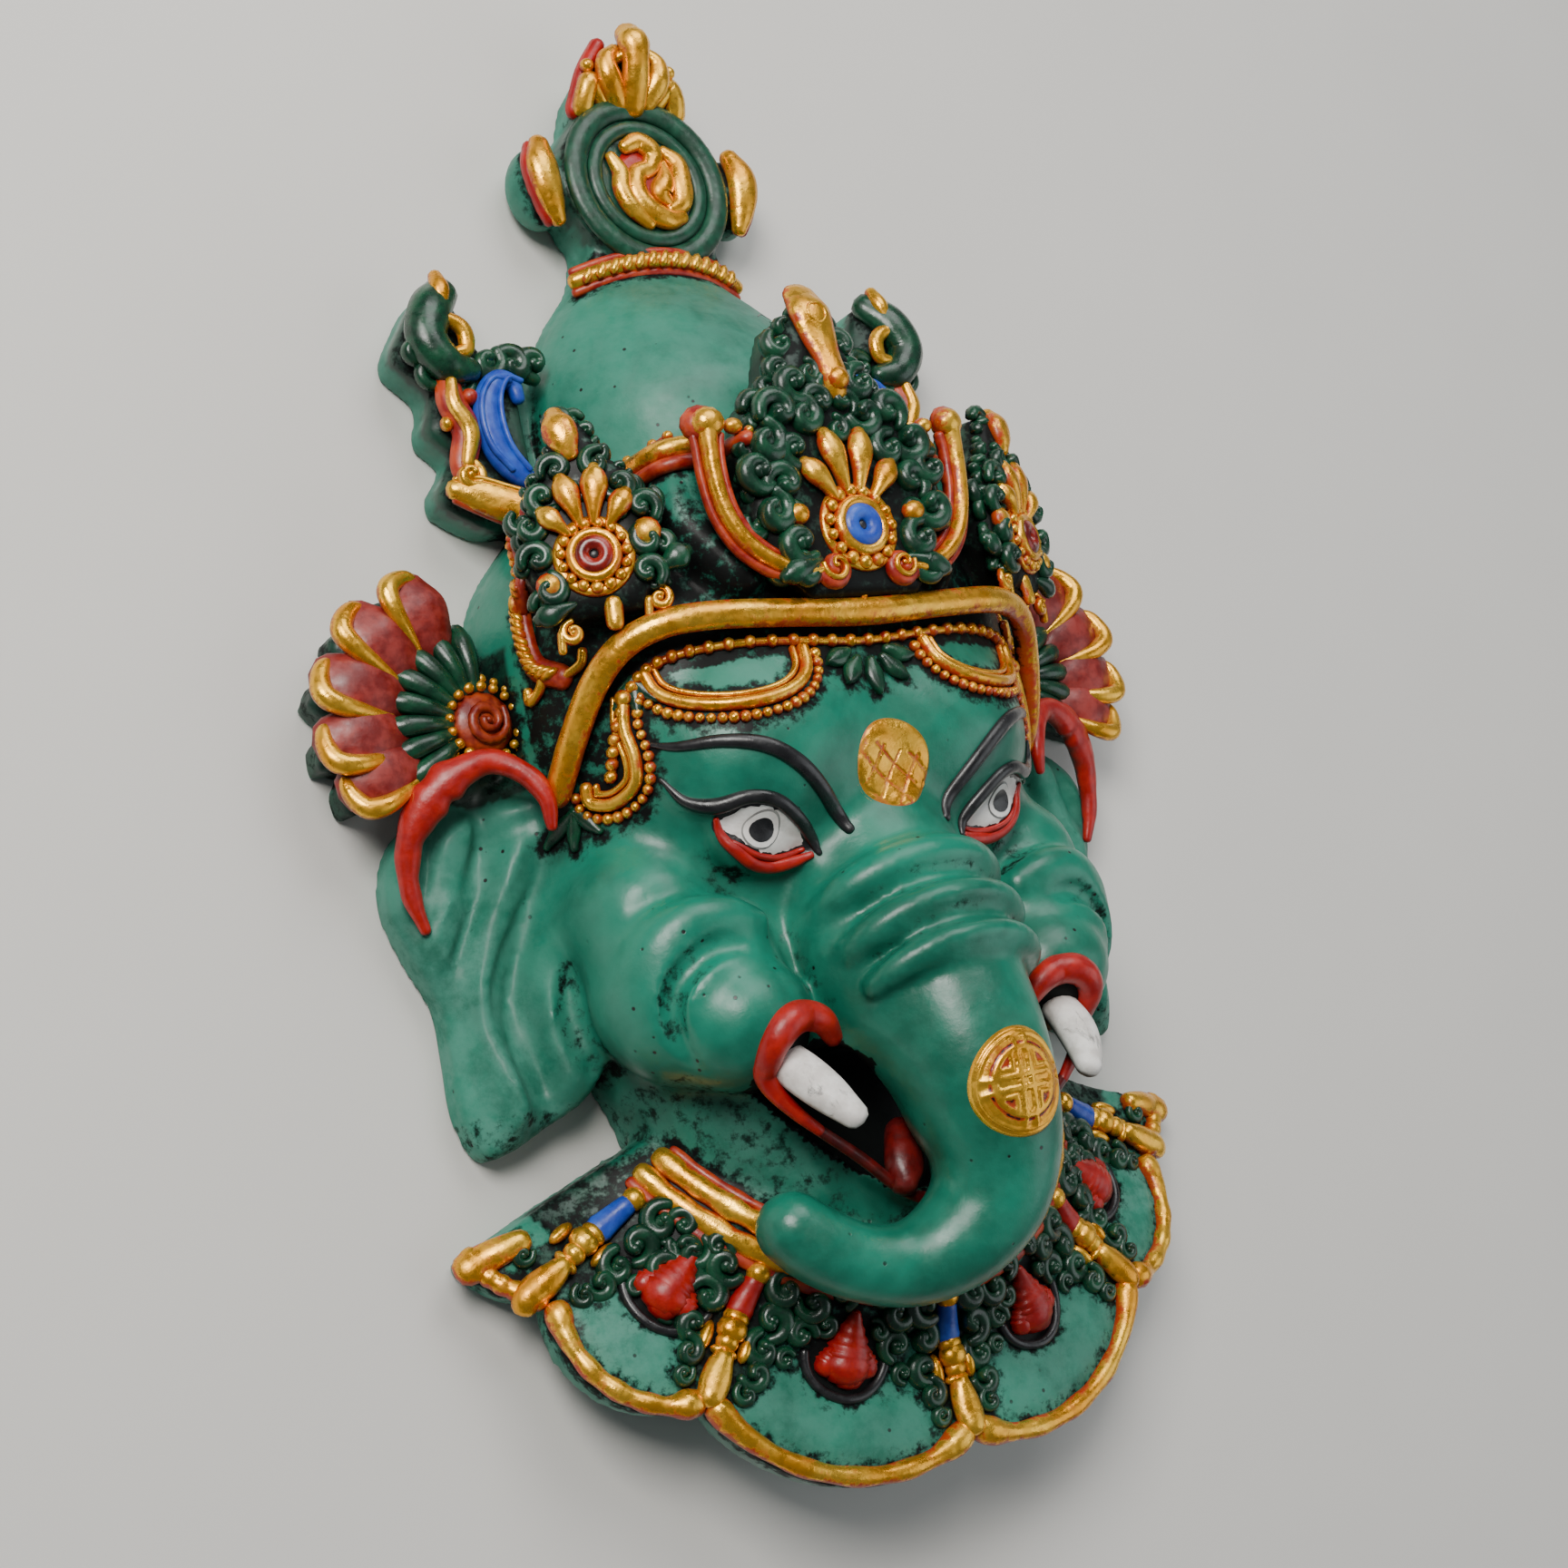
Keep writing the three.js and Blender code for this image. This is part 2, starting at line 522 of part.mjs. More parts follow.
function rimRadius(angle) {
  const a = Math.min(Math.abs(angle), COLLAR.ends);
  const lobe = LOBES.find(({ to }) => a <= to);
  const width = lobe === LOBES.at(-1) ? 2 * (lobe.to - lobe.from) : lobe.to - lobe.from;
  const t = clamp((a - lobe.from) / width, 0, 1);
  return COLLAR.cusp + COLLAR.bulge * Math.pow(Math.sin(Math.PI * t), 0.6);
}

// A point on the collar's front, by its bearing from straight down and its share of the way out.
function onCollar(angle, out, lift = 0) {
  const a = Math.abs(angle);
  const neckDepth = 30 - 19 * (a / COLLAR.ends) ** 2;
  const rimDepth = 4.5 + 20.5 * (1 - Math.pow(a / (COLLAR.ends + 1), 2.2));
  const dip = 4.5 * Math.sin(Math.PI * clamp(out, 0, 1)) * (1 - 0.6 * (a / COLLAR.ends) ** 2);
  const reach = lerp(COLLAR.neck, rimRadius(angle), out);
  return at(
    reach * Math.sin(radians(angle)), COLLAR.centreY - reach * Math.cos(radians(angle)),
    lerp(neckDepth, rimDepth, out) - dip + lift,
  );
}

// The collar's section from the neck out: two neck bands, a dip, a crescent in each lobe, the rim.
function collar() {
  const bearings = LOBES.flatMap(({ from, to, steps }) =>
    Array.from({ length: steps }, (_, k) => lerp(from, to, (k + 1) / steps)));
  const columns = [...bearings.toReversed().map((b) => -b), 0, ...bearings];
  const inLobe = (bearing) => (rimRadius(bearing) - COLLAR.cusp) / COLLAR.bulge;
  const section = [
    { out: 0, lift: () => NECK_BAND_RADIUS },
    { out: 0.13, lift: () => NECK_BAND_RADIUS },
    { out: 0.2, lift: () => 0 },
    { out: 0.55, lift: () => 0 },
    { out: 0.68, lift: (bearing) => 2.4 * UNIT * inLobe(bearing) },
    { out: 0.86, lift: (bearing) => 1.2 * UNIT * inLobe(bearing) },
    { out: 0.93, lift: () => RIM_RADIUS },
    { out: 1, lift: () => 0 },
  ];
  const backOut = [1, 0.5, 0];
  const endMiddles = SIDES.map((side) => onCollar(side * COLLAR.ends, 0.45, -COLLAR_THICKNESS / 2 / UNIT));
  return [
    loft(columns.map((bearing) => [
      ...section.map(({ out, lift }) => {
        const p = onCollar(bearing, out);
        return p.setZ(p.z + lift(bearing));
      }),
      ...backOut.map((out) => {
        const p = onCollar(bearing, out);
        return p.setZ(Math.max(p.z - COLLAR_THICKNESS, 0));
      }),
    ]), endMiddles),
    ...bothSides((side) => LOBES.slice(0, 2).map(({ from, to }) => {
      const middle = side * lerp(from, to, 0.5);
      return tube([onCollar(middle, 0.3, 0), onCollar(middle, 0.5, 1.4)], share(1.6, 3.6), { steps: 2, sides: 5 });
    })),
    ...PENDANTS.flatMap(pendant),
  ];
}

// A pendant hangs at a cusp: bead, bar, flower and drop in one, between curled leaves.
function pendant(angle) {
  const R = PENDANT_RADIUS;
  const path = [0.3, 0.45, 0.6, 0.8, 1.017].map((out) => onCollar(angle, out, 1.6));
  const shaft = tube(path, [R * 0.8, R * 0.9, R * 0.75, R * 1.6, R * 0.8, R * 1.1, R * 1.3, R * 0.8], { sides: 4, steps: 6 });
  const curls = SIDES.map((side) => {
    const bearing = clamp(angle + side * 8, -COLLAR.ends + 4.4, COLLAR.ends - 4.4);
    return ball(onCollar(bearing, 0.42, 0.5), share(4.4, 6, 2.8), 5, 3);
  });
  return [shaft, ...curls];
}

// The back plane is ground flat, so nothing reaches behind it.
function groundFlat(casting) {
  const size = 2 * HEIGHT;
  const below = new THREE.BoxGeometry(size, size, size).translate(0, 0, -size / 2);
  return casting.subtract(solid(below));
}

function mask() {
  const outside = union([
    ...head(), ...bothSides((side) => [ear(side), ...earFan(side), ...sideOrnament(side)]),
    ...topOrnament(), ...collar(),
  ]);
  const carved = outside.subtract(mouth());
  const whole = union([carved, ...trunk(), ...tusksAndLips(), ...face(), ...crown()]);
  const hollow = whole.subtract(union(hollows()));
  const ground = groundFlat(hollow);
  const { min, max } = ground.boundingBox();
  const centred = ground.translate([0, -(min[1] + max[1]) / 2, 0]);
  const { vertProperties, triVerts } = centred.getMesh();
  const geometry = new THREE.BufferGeometry();
  geometry.setAttribute("position", new THREE.Float32BufferAttribute(vertProperties, 3));
  geometry.setIndex(Array.from(triVerts));
  geometry.computeVertexNormals();
  const resin = new THREE.MeshStandardMaterial({ color: 0x1d8468, roughness: 0.35, metalness: 0 });
  const mesh = new THREE.Mesh(geometry, resin);
  mesh.name = "mask";
  return mesh;
}

const group = new THREE.Group();
group.name = "ganesh_mask";
group.add(mask());
export default group;
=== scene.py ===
# The visual model of the Ganesh mask: a smooth carved body from a distance field, then the cast
# ornaments laid on it. Sizes are millimetres in the mask's own frame: X right, Y up from the lowest
# point of the collar, Z out of the back.
import math

import bpy
import numpy as np
from mathutils import Matrix, Vector
from mathutils.bvhtree import BVHTree


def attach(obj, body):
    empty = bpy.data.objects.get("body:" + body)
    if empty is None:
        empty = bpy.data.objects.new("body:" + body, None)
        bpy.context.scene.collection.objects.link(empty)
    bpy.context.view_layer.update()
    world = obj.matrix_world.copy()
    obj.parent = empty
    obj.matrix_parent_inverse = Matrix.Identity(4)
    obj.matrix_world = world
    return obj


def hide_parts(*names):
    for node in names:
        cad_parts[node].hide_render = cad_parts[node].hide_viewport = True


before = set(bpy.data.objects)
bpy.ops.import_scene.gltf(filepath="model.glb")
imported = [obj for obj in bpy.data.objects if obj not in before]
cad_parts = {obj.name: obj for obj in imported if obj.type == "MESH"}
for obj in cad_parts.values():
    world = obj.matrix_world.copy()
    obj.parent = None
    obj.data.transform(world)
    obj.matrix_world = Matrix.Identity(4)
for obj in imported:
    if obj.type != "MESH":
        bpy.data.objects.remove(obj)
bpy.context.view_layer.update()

ROW_SHIFT_Y = -124.416
FIELD_STEP = 0.9
SHELL_WALL = 5.5
BODY_TRIANGLES = 192000
FAR = 1e3
SIDES = (-1, 1)


def to_row(points):
    """Millimetres in the mask's frame to metres in the row frame."""
    moved = np.asarray(points, float).copy()
    moved[:, 1] += ROW_SHIFT_Y
    return moved / 1000.0


class Field:
    """Signed distances on a box of points, negative inside the casting."""

    def __init__(self, low, high, step):
        self.low = np.array(low, float)
        self.step = step
        count = np.ceil((np.array(high) - self.low) / step).astype(int) + 1
        self.values = np.full(tuple(count), FAR, np.float32)

    def window(self, low, high):
        a = np.clip(np.floor((np.array(low) - self.low) / self.step).astype(int), 0, None)
        b = np.minimum(np.ceil((np.array(high) - self.low) / self.step).astype(int) + 1, self.values.shape)
        axes = [self.low[i] + self.step * np.arange(a[i], b[i]) for i in range(3)]
        cut = tuple(slice(a[i], b[i]) for i in range(3))
        return cut, axes[0][:, None, None], axes[1][None, :, None], axes[2][None, None, :]

    def heights(self):
        return self.low[2] + self.step * np.arange(self.values.shape[2])[None, None, :]

    def at(self, points):
        """The distance at any points, by straight blending between the grid's."""
        g = np.clip((points - self.low) / self.step, 0, np.array(self.values.shape) - 1.001)
        i = g.astype(int)
        f = g - i
        out = 0
        for corner in np.ndindex(2, 2, 2):
            share = np.prod(np.where(corner, f, 1 - f), axis=1)
            out = out + share * self.values[tuple((i + corner).T)]
        return out

    def add(self, shape, low, high, blend=0.0):
        cut, x, y, z = self.window(low, high)
        self.values[cut] = smooth_min(self.values[cut], shape(x, y, z), blend)

    def carve(self, shape, low, high, blend=0.0):
        cut, x, y, z = self.window(low, high)
        self.values[cut] = -smooth_min(-self.values[cut], shape(x, y, z), blend)


def smooth_min(a, b, blend):
    if blend <= 0:
        return np.minimum(a, b)
    share = np.clip(0.5 + 0.5 * (b - a) / blend, 0, 1)
    return b + (a - b) * share - blend * share * (1 - share)


def ellipsoid(centre, radii):
    def shape(x, y, z):
        u, v, w = x - centre[0], y - centre[1], z - centre[2]
        k0 = np.sqrt((u / radii[0]) ** 2 + (v / radii[1]) ** 2 + (w / radii[2]) ** 2)
        k1 = np.sqrt((u / radii[0] ** 2) ** 2 + (v / radii[1] ** 2) ** 2 + (w / radii[2] ** 2) ** 2)
        return k0 * (k0 - 1) / np.maximum(k1, 1e-6)
    return shape


def catmull_rom(a, b, c, d, u):
    bend, twist = 2 * a - 5 * b + 4 * c - d, 3 * b - a - 3 * c + d
    return 0.5 * (2 * b + (c - a) * u + bend * u ** 2 + twist * u ** 3)


def curve_through(points, count):
    """Evenly many points on a Catmull-Rom curve through the given ones, of any width of row."""
    p = np.asarray(points, float)
    p = np.vstack([2 * p[0] - p[1], p, 2 * p[-1] - p[-2]])
    t = np.linspace(0, len(p) - 3 - 1e-9, count)
    i = t.astype(int)
    u = (t - i)[:, None]
    a, b, c, d = p[i], p[i + 1], p[i + 2], p[i + 3]
    return catmull_rom(a, b, c, d, u)


def chain(points):
    """A round form along points given as x, y, z, radius."""
    def shape(x, y, z):
        result = None
        for p, q in zip(points[:-1], points[1:]):
            ax = q[:3] - p[:3]
            length = max(float(ax @ ax), 1e-9)
            t = np.clip(((x - p[0]) * ax[0] + (y - p[1]) * ax[1] + (z - p[2]) * ax[2]) / length, 0, 1)
            away = np.sqrt(
                (x - p[0] - t * ax[0]) ** 2 + (y - p[1] - t * ax[1]) ** 2 + (z - p[2] - t * ax[2]) ** 2
            )
            d = away - (p[3] + t * (q[3] - p[3]))
            result = d if result is None else np.minimum(result, d)
        return result
    return shape


def add_chain(field, points, blend, count=0, carve=False):
    path = curve_through(points, count or 4 * len(points))
    reach = path[:, 3].max() + blend + 2
    low, high = path[:, :3].min(0) - reach, path[:, :3].max(0) + reach
    (field.carve if carve else field.add)(chain(path), low, high, blend)


def section_table(rows):
    """Half width, depth and power of a form at any height, eased between the given rows."""
    rows = np.asarray(rows, float)
    fine = curve_through(rows, 12 * len(rows))
    return lambda y: [np.interp(y, fine[:, 0], fine[:, k]) for k in (1, 2, 3)]


def dome(rows, inset=0.0):
    """A rounded form over the back's plane, whose sections a table of rows gives from low to high."""
    sizes = section_table(rows)
    first, last = rows[0][0], rows[-1][0]

    def shape(x, y, z):
        a, b, power = sizes(y)
        a, b = a - inset, b - inset
        over = np.maximum(z, 0)
        q = ((np.abs(x) / a) ** power + (over / b) ** power + 1e-9) ** (1 / power)
        side = np.sqrt(x ** 2 + over ** 2) * (1 - 1 / q)
        return np.maximum(side, np.maximum(first + inset - y, y - last + inset))
    return shape


HEAD = [
    [50, 24, 20, 2.2], [56, 31, 26, 2.2], [62, 37.5, 30, 2.2], [68, 41.5, 32, 2.2], [74, 44, 33, 2.2],
    [80, 45.5, 33.5, 2.2], [86, 46.5, 34, 2.2], [92, 47.3, 35.5, 2.2], [98, 47.8, 38, 2.2],
    [104, 48.3, 41, 2.2], [111, 49, 43, 2.2], [119, 50, 43.5, 2.3], [127, 50, 42.5, 2.4],
    [134, 49.8, 41.5, 2.5], [142, 49, 40.5, 2.5], [150, 45.5, 38.5, 2.5], [158, 38.5, 34.5, 2.4],
    [166, 30, 30, 2.3],
]
BUN = [
    [156, 26, 27, 2.2], [162, 27.6, 29, 2.2], [168, 28.6, 30.2, 2.2], [174, 29, 30.3, 2.2],
    [180, 28.6, 29.2, 2.2], [187, 27, 26, 2.2], [193, 24.6, 22, 2.2], [198, 21.4, 17.8, 2.2],
    [202, 18, 14.3, 2.2], [206, 15, 11.5, 2.2], [213, 12.8, 9.5, 2.2],
]
NECK = [
    [29, 6, 24, 2.6], [33, 14, 27.5, 2.7], [38, 23.5, 28.2, 2.8], [46, 32, 28, 3], [54, 37, 27.5, 3],
    [70, 41, 28, 3],
]
JAW = [
    [36.5, 2, 28, 2.6], [39, 7.5, 32.5, 2.6], [43, 13, 35, 2.6], [48, 18.5, 36.5, 2.6],
    [54, 25, 37.5, 2.6], [60, 31, 38.3, 2.6], [66, 35.4, 38.5, 2.6], [72, 36.5, 36, 2.6],
    [76, 35, 32, 2.6],
]
TRUNK = [
    [0, 104, 24, 14], [0, 97, 28.5, 15], [0, 90, 32, 15], [0, 84, 35.2, 14.6], [0, 77, 39, 14.2],
    [0, 70, 42, 13.7], [0.3, 62, 44.2, 13.2], [0.9, 54, 45.2, 12.1], [1.6, 46, 44.8, 10.4],
    [-0.4, 38.6, 43.1, 9.1], [-6.5, 33.4, 41, 7.8], [-14, 31.3, 38.5, 6.5], [-22, 33.2, 37, 5.9],
    [-28, 37, 36, 5.9], [-31.5, 40.3, 35.2, 5.6],
]
COLLAR_CENTRE_Y = 73.0
COLLAR_NECK, COLLAR_CUSP, COLLAR_BULGE, COLLAR_END = 41.0, 69.5, 7.0, 69.0
COLLAR_THICKNESS, COLLAR_PAD = 6, 1.5
LOBES = ((0, 37.8), (37.8, 59.5), (59.5, 69))
DEGREE = 0.0175


def rim_radius(bearing):
    """The collar's lobed edge: its distance from the centre at a bearing."""
    a = np.clip(np.abs(bearing), 0, COLLAR_END)
    out = np.zeros_like(a)
    for start, end in LOBES:
        width = 2 * (end - start) if end == COLLAR_END else end - start
        t = np.clip((a - start) / width, 0, 1)
        out = np.where((a >= start) & (a <= end), np.sin(np.pi * t) ** 0.6, out)
    return COLLAR_CUSP + COLLAR_BULGE * out


def collar_depth(bearing, share):
    """Height of the collar's front at a bearing from straight down and a share of the way out."""
    a = np.minimum(np.abs(bearing), COLLAR_END) / COLLAR_END
    neck = 30 - 19 * a ** 2
    rim = 4.5 + 20.5 * (1 - (a * COLLAR_END / (COLLAR_END + 1)) ** 2.2)
    dip = 4.5 * np.sin(np.pi * np.clip(share, 0, 1)) * (1 - 0.6 * a ** 2)
    return neck + (rim - neck) * share - dip


def on_collar(bearing, share, lift=0.0):
    """A point on the collar's front."""
    reach = COLLAR_NECK + (rim_radius(np.float64(bearing)) - COLLAR_NECK) * share
    angle = math.radians(bearing)
    return (
        reach * math.sin(angle), COLLAR_CENTRE_Y - reach * math.cos(angle),
        float(collar_depth(bearing, share)) + lift,
    )


def collar_polar(x, y):
    """Way from the collar's centre, bearing from straight down, the rim there and the share of it."""
    reach = np.hypot(x, y - COLLAR_CENTRE_Y)
    bearing = np.degrees(np.arctan2(x, COLLAR_CENTRE_Y - y))
    rim = rim_radius(bearing)
    return reach, bearing, rim, (reach - COLLAR_NECK) / (rim - COLLAR_NECK)


def collar_shape(x, y, z):
    reach, bearing, rim, share = collar_polar(x, y)
    front = collar_depth(bearing, np.clip(share, 0, 1.02))
    in_lobe = (rim - COLLAR_CUSP) / COLLAR_BULGE
    pad = COLLAR_PAD * np.exp(-((share - 0.76) / 0.13) ** 4) * in_lobe
    back = np.maximum(front - COLLAR_THICKNESS, 0)
    edge = np.maximum(reach - rim, COLLAR_NECK - 3 - reach)
    ends = (np.abs(bearing) - COLLAR_END) * reach * DEGREE
    return np.maximum(np.maximum(z - front - pad, back - z), np.maximum(edge, ends))


def outline_distance(outline, u, v):
    """Signed distance in a plane to a closed outline, for grids of u and v."""
    u, v = np.broadcast_arrays(u, v)
    best = np.full(u.shape, FAR)
    inside = np.zeros(u.shape, bool)
    for (ax, ay), (bx, by) in zip(outline, np.roll(outline, -1, axis=0)):
        dx, dy = bx - ax, by - ay
        t = np.clip(((u - ax) * dx + (v - ay) * dy) / max(dx * dx + dy * dy, 1e-9), 0, 1)
        best = np.minimum(best, np.hypot(u - ax - t * dx, v - ay - t * dy))
        crosses = (ay > v) != (by > v)
        inside ^= crosses & (u < (bx - ax) * (v - ay) / (by - ay if by != ay else 1e-9) + ax)
    return np.where(inside, -best, best)


class Place:
    """A flat place on the mask: a point in x and z, turned about the mask's height."""

    def __init__(self, x=0.0, z=0.0, turn=0.0):
        self.origin = np.array([x, 0.0, z])
        self.cos, self.sin = math.cos(turn), math.sin(turn)

    def local(self, x, y, z):
        dx, dz = x - self.origin[0], z - self.origin[2]
        return dx * self.cos - dz * self.sin, y, dx * self.sin + dz * self.cos

    def turned(self, p):
        p = np.asarray(p, float)
        across, out = p[:, 0], p[:, 2]
        return np.stack([across * self.cos + out * self.sin, p[:, 1], out * self.cos - across * self.sin], 1)

    def world(self, p):
        return self.origin + self.turned(p)


FLAT = Place()


def relief(outline, height, place=FLAT):
    """A plate over an outline, whose front is a height function of u, v and the way in from its edge."""
    def shape(x, y, z):
        u, v, w = place.local(x, y, z)
        edge = outline_distance(outline, u, v)
        return np.maximum(np.maximum(w - height(u, v, np.maximum(-edge, 0)), edge), -w - 3)
    return shape


def closed_curve(points, count):
    """Evenly many points on a closed Catmull-Rom curve through the given ones."""
    p = np.asarray(points, float)
    loop = np.vstack([p[-1], p, p[0], p[1]])
    t = np.linspace(0, len(p), count, endpoint=False)
    i = t.astype(int)
    u = (t - i)[:, None]
    a, b, c, d = loop[i], loop[i + 1], loop[i + 2], loop[np.minimum(i + 3, len(loop) - 1)]
    return catmull_rom(a, b, c, d, u)


EAR = [
    [42, 112], [50, 117], [60, 116], [69, 110], [71.8, 101], [69.5, 92], [66.3, 84], [66.2, 76],
    [66.5, 68], [64, 60.5], [60, 60.3], [54, 62.8], [47, 66.3], [42.5, 74], [38, 90],
]


def ear_height(x, y, inward):
    """The ear's front: high at the head, with hanging folds and a fuller lobe."""
    ax = np.abs(x)
    reach = np.hypot(ax - 42, y - 112)
    bearing = np.arctan2(ax - 42, 112 - y)
    along = ax + 0.16 * (y - 88) + 3.1 * np.sin(y / 8.0 + 0.6)
    inner = np.clip(inward / 5, 0, 1) * np.clip(reach / 16, 0, 1)
    fold = (np.cos(along * 0.66) + 0.45 * np.cos(bearing * 11 + reach * 0.16)) * inner
    ripple = 0.45 * np.cos(along * 1.45 + 0.12 * y) * np.sin(y / 5.5 + along * 0.2) * inner
    body = 4.5 + 3.4 * np.clip(inward / 4, 0, 1) ** 0.6 + 8.5 * np.clip((60 - ax) / 18, 0, 1) ** 1.4
    lobe = 2.4 * np.exp(-((ax - 60) / 5) ** 2 - ((y - 68) / 9) ** 2)
    return body + 1.5 * fold + ripple + lobe


TIARA_HALF_WIDTH, TIARA_DEPTH = 65.0, 48.0
LEAF_THICKNESS = 8.0
CENTRE_LEAF = [
    (10.5, 134), (15.2, 139), (19, 147.7), (17.1, 154.6), (18.6, 158.5), (14.6, 163.4), (13, 167.3),
    (8, 171.7), (6.2, 177), (4, 181.5), (0, 183.2),
]
SIDE_LEAF = [
    (6, 136), (8.8, 139.3), (11, 145), (9.9, 149.7), (10.8, 152.3), (8.3, 155.5), (8.1, 158.1),
    (5, 161), (3.6, 164.6), (2.1, 167.5), (0, 168.5),
]
SIDE_LEAF_X = 38.8
FAN_HUB = (53.7, 126.5)
FAN_PETALS = ((23, 26), (47, 27), (71, 27), (94, 26.5), (113, 25.5))
SIDE_ORNAMENT = [
    (27, 165), (25, 178), (28, 189), (34.5, 188.5), (38.5, 192), (42, 200.5), (46.5, 201.5), (51, 196),
    (54, 189.5), (49, 183.5), (50.5, 177), (47, 172.5), (50.4, 167), (49, 163.5), (40, 160),
]
SPINE = [(14, 205), (13, 212), (10.5, 236), (8.5, 241), (3, 248.2), (0, 249.6)]
DISC_CENTRE_Y, DISC_RADIUS, DISC_TOP = 222.0, 16.5, 11.2


def tiara_depth(x):
    return TIARA_DEPTH * math.sqrt(max(1 - (x / TIARA_HALF_WIDTH) ** 2, 0))


def leaf_place(x):
    """Where a crown leaf stands on the tiara's oval, turned to face away from its middle."""
    turn = math.atan2(x / TIARA_HALF_WIDTH ** 2, tiara_depth(x) / TIARA_DEPTH ** 2)
    return Place(x, tiara_depth(x) - LEAF_THICKNESS, turn)


def both_ways(half):
    """A closed outline from its right half, listed from low to high."""
    other = half[-2::-1] if half[-1][0] == 0 else half[::-1]
    return np.array(half + [(-u, v) for u, v in other])


def spoke(bearing, reach):
    angle = math.radians(bearing)
    return FAN_HUB[0] + reach * math.sin(angle), FAN_HUB[1] + reach * math.cos(angle)


def fan_outline(side):
    """Five pointed petals round the hub, closed behind it by an arc."""
    points = []
    for bearing, reach in FAN_PETALS:
        points += [
            spoke(bearing - 12, reach * 0.84), spoke(bearing - 5, reach * 0.95),
            spoke(bearing + 4, reach * 0.97),
        ]
    points += [spoke(bearing, 12) for bearing in (128, 165, 205, 245, 285, 320, 345)]
    return np.array([(side * x, y) for x, y in points])


TRUNK_SHOULDER = [
    (7.4, 93, 31.5, 7.5), (8.6, 86, 33.6, 9.4), (9, 79, 36, 10), (7.8, 72, 38.6, 9.8), (5, 65, 41, 8.6),
]
FOLD_SPREAD = 1.3


def fold_arc(y, z, radius, size, reach=1.3):
    """A fold round the trunk, square to its way down, through the middle y, z of the trunk."""
    rows = []
    for a in np.linspace(-reach, reach, 15):
        out = radius * math.cos(a)
        thickness = size * (0.45 + 0.55 * math.cos(a))
        rows.append((FOLD_SPREAD * radius * math.sin(a), y + 0.5 * out, z + 0.87 * out, thickness))
    return rows


CHEEK_GROOVE = [
    (26.4, 81.6, 39.4, 0.8), (30.2, 83.1, 39.4, 1.7), (34.3, 83.6, 38.8, 2.1), (37.4, 83.0, 38, 2.1),
    (40.8, 81, 36.8, 2.1), (43, 78.2, 35.2, 2), (43.6, 74.5, 34, 1.8), (42.8, 70.5, 33.2, 1.5),
    (41, 66.5, 32.6, 1),
]
CHEEK_ROLL = [
    (26.6, 86.6, 34.6, 2.4), (32, 88, 34.8, 3.4), (38, 87.8, 33.8, 3.8), (43, 84.6, 31, 3.6),
    (45.2, 80, 28, 2.6),
]
CHEEK_RIM = [(24.6, 90.4, 33, 0.6), (29.5, 93, 33, 1.2), (37.7, 93.8, 34, 1.3), (44.4, 92, 31.8, 1.0)]
UPPER_LID = [
    (36.6, 110.4, 32.6, 0.5), (34.2, 106.4, 33.6, 0.9), (30.6, 104.6, 36, 1.1),
    (26.4, 105.0, 38.6, 1.2), (22.3, 103.9, 39.7, 1.2), (18.3, 101, 39, 1.1), (15.2, 97.9, 37.2, 0.9),
    (14.2, 95.3, 36.8, 0.6),
]
LOWER_LID = [
    (30.2, 102.8, 35, 0.7), (28.9, 99.2, 34, 1), (25.7, 95.9, 33.6, 1), (22, 94.6, 34.2, 1),
    (18.4, 94.7, 35.4, 0.9), (15.4, 95.2, 36.6, 0.6),
]
MOUTH = [
    [40, 2, 4, 2.2], [44, 9, 8, 2.2], [49, 15, 10, 2.2], [55, 21, 12, 2.2], [61, 26, 12.5, 2.2],
    [66, 28.5, 9, 2.2],
]
MOUTH_FLOOR = 28.5
THROAT = [[12, 14, 10, 2], [24, 22, 13, 2], [36, 24, 17, 2], [60, 26, 19, 2]]


def mirrored(rows, side):
    """Rows whose first number is across the mask, for its right side or its left."""
    return [(side * row[0],) + tuple(row[1:]) for row in rows]


# Brow, cheek, temple, inner cheek ball and eyeball: the right one's centre and radii, then the window
# of the field that it may touch, and its blend.
SWELLINGS = (
    ((17, 113, 27), (19, 15, 18.5), 17, 24, (92, 5), (134, 56), 7),
    ((34, 79, 24), (15.5, 15, 15), 34, 24, (55, 0), (104, 55), 4),
    ((38, 92, 20), (11, 11, 12), 38, 20, (72, 0), (112, 45), 5),
    ((30.5, 72.5, 29.5), (12.0, 10.8, 12.6), 30, 22, (55, 8), (92, 55), 1.2),
    ((22.8, 99.4, 32.6), (7.4, 5.2, 5.2), 22.8, 12, (90, 24), (110, 44), 1.5),
)
TRUNK_FOLDS = ((84.5, 36.0, 12.6, 4.0), (77.2, 40.4, 12.4, 3.7), (71.0, 43.4, 12.2, 2.9))
TRUNK_GROOVES = ((80.9, 38.4, 15.4, 1.7, 1.15), (74.1, 42.0, 15.2, 1.6, 1.1), (68.2, 44.0, 15.0, 0.8, 0.85))


def mouth_scoop(x, y, z):
    return dome(MOUTH)(x, y, z - MOUTH_FLOOR)


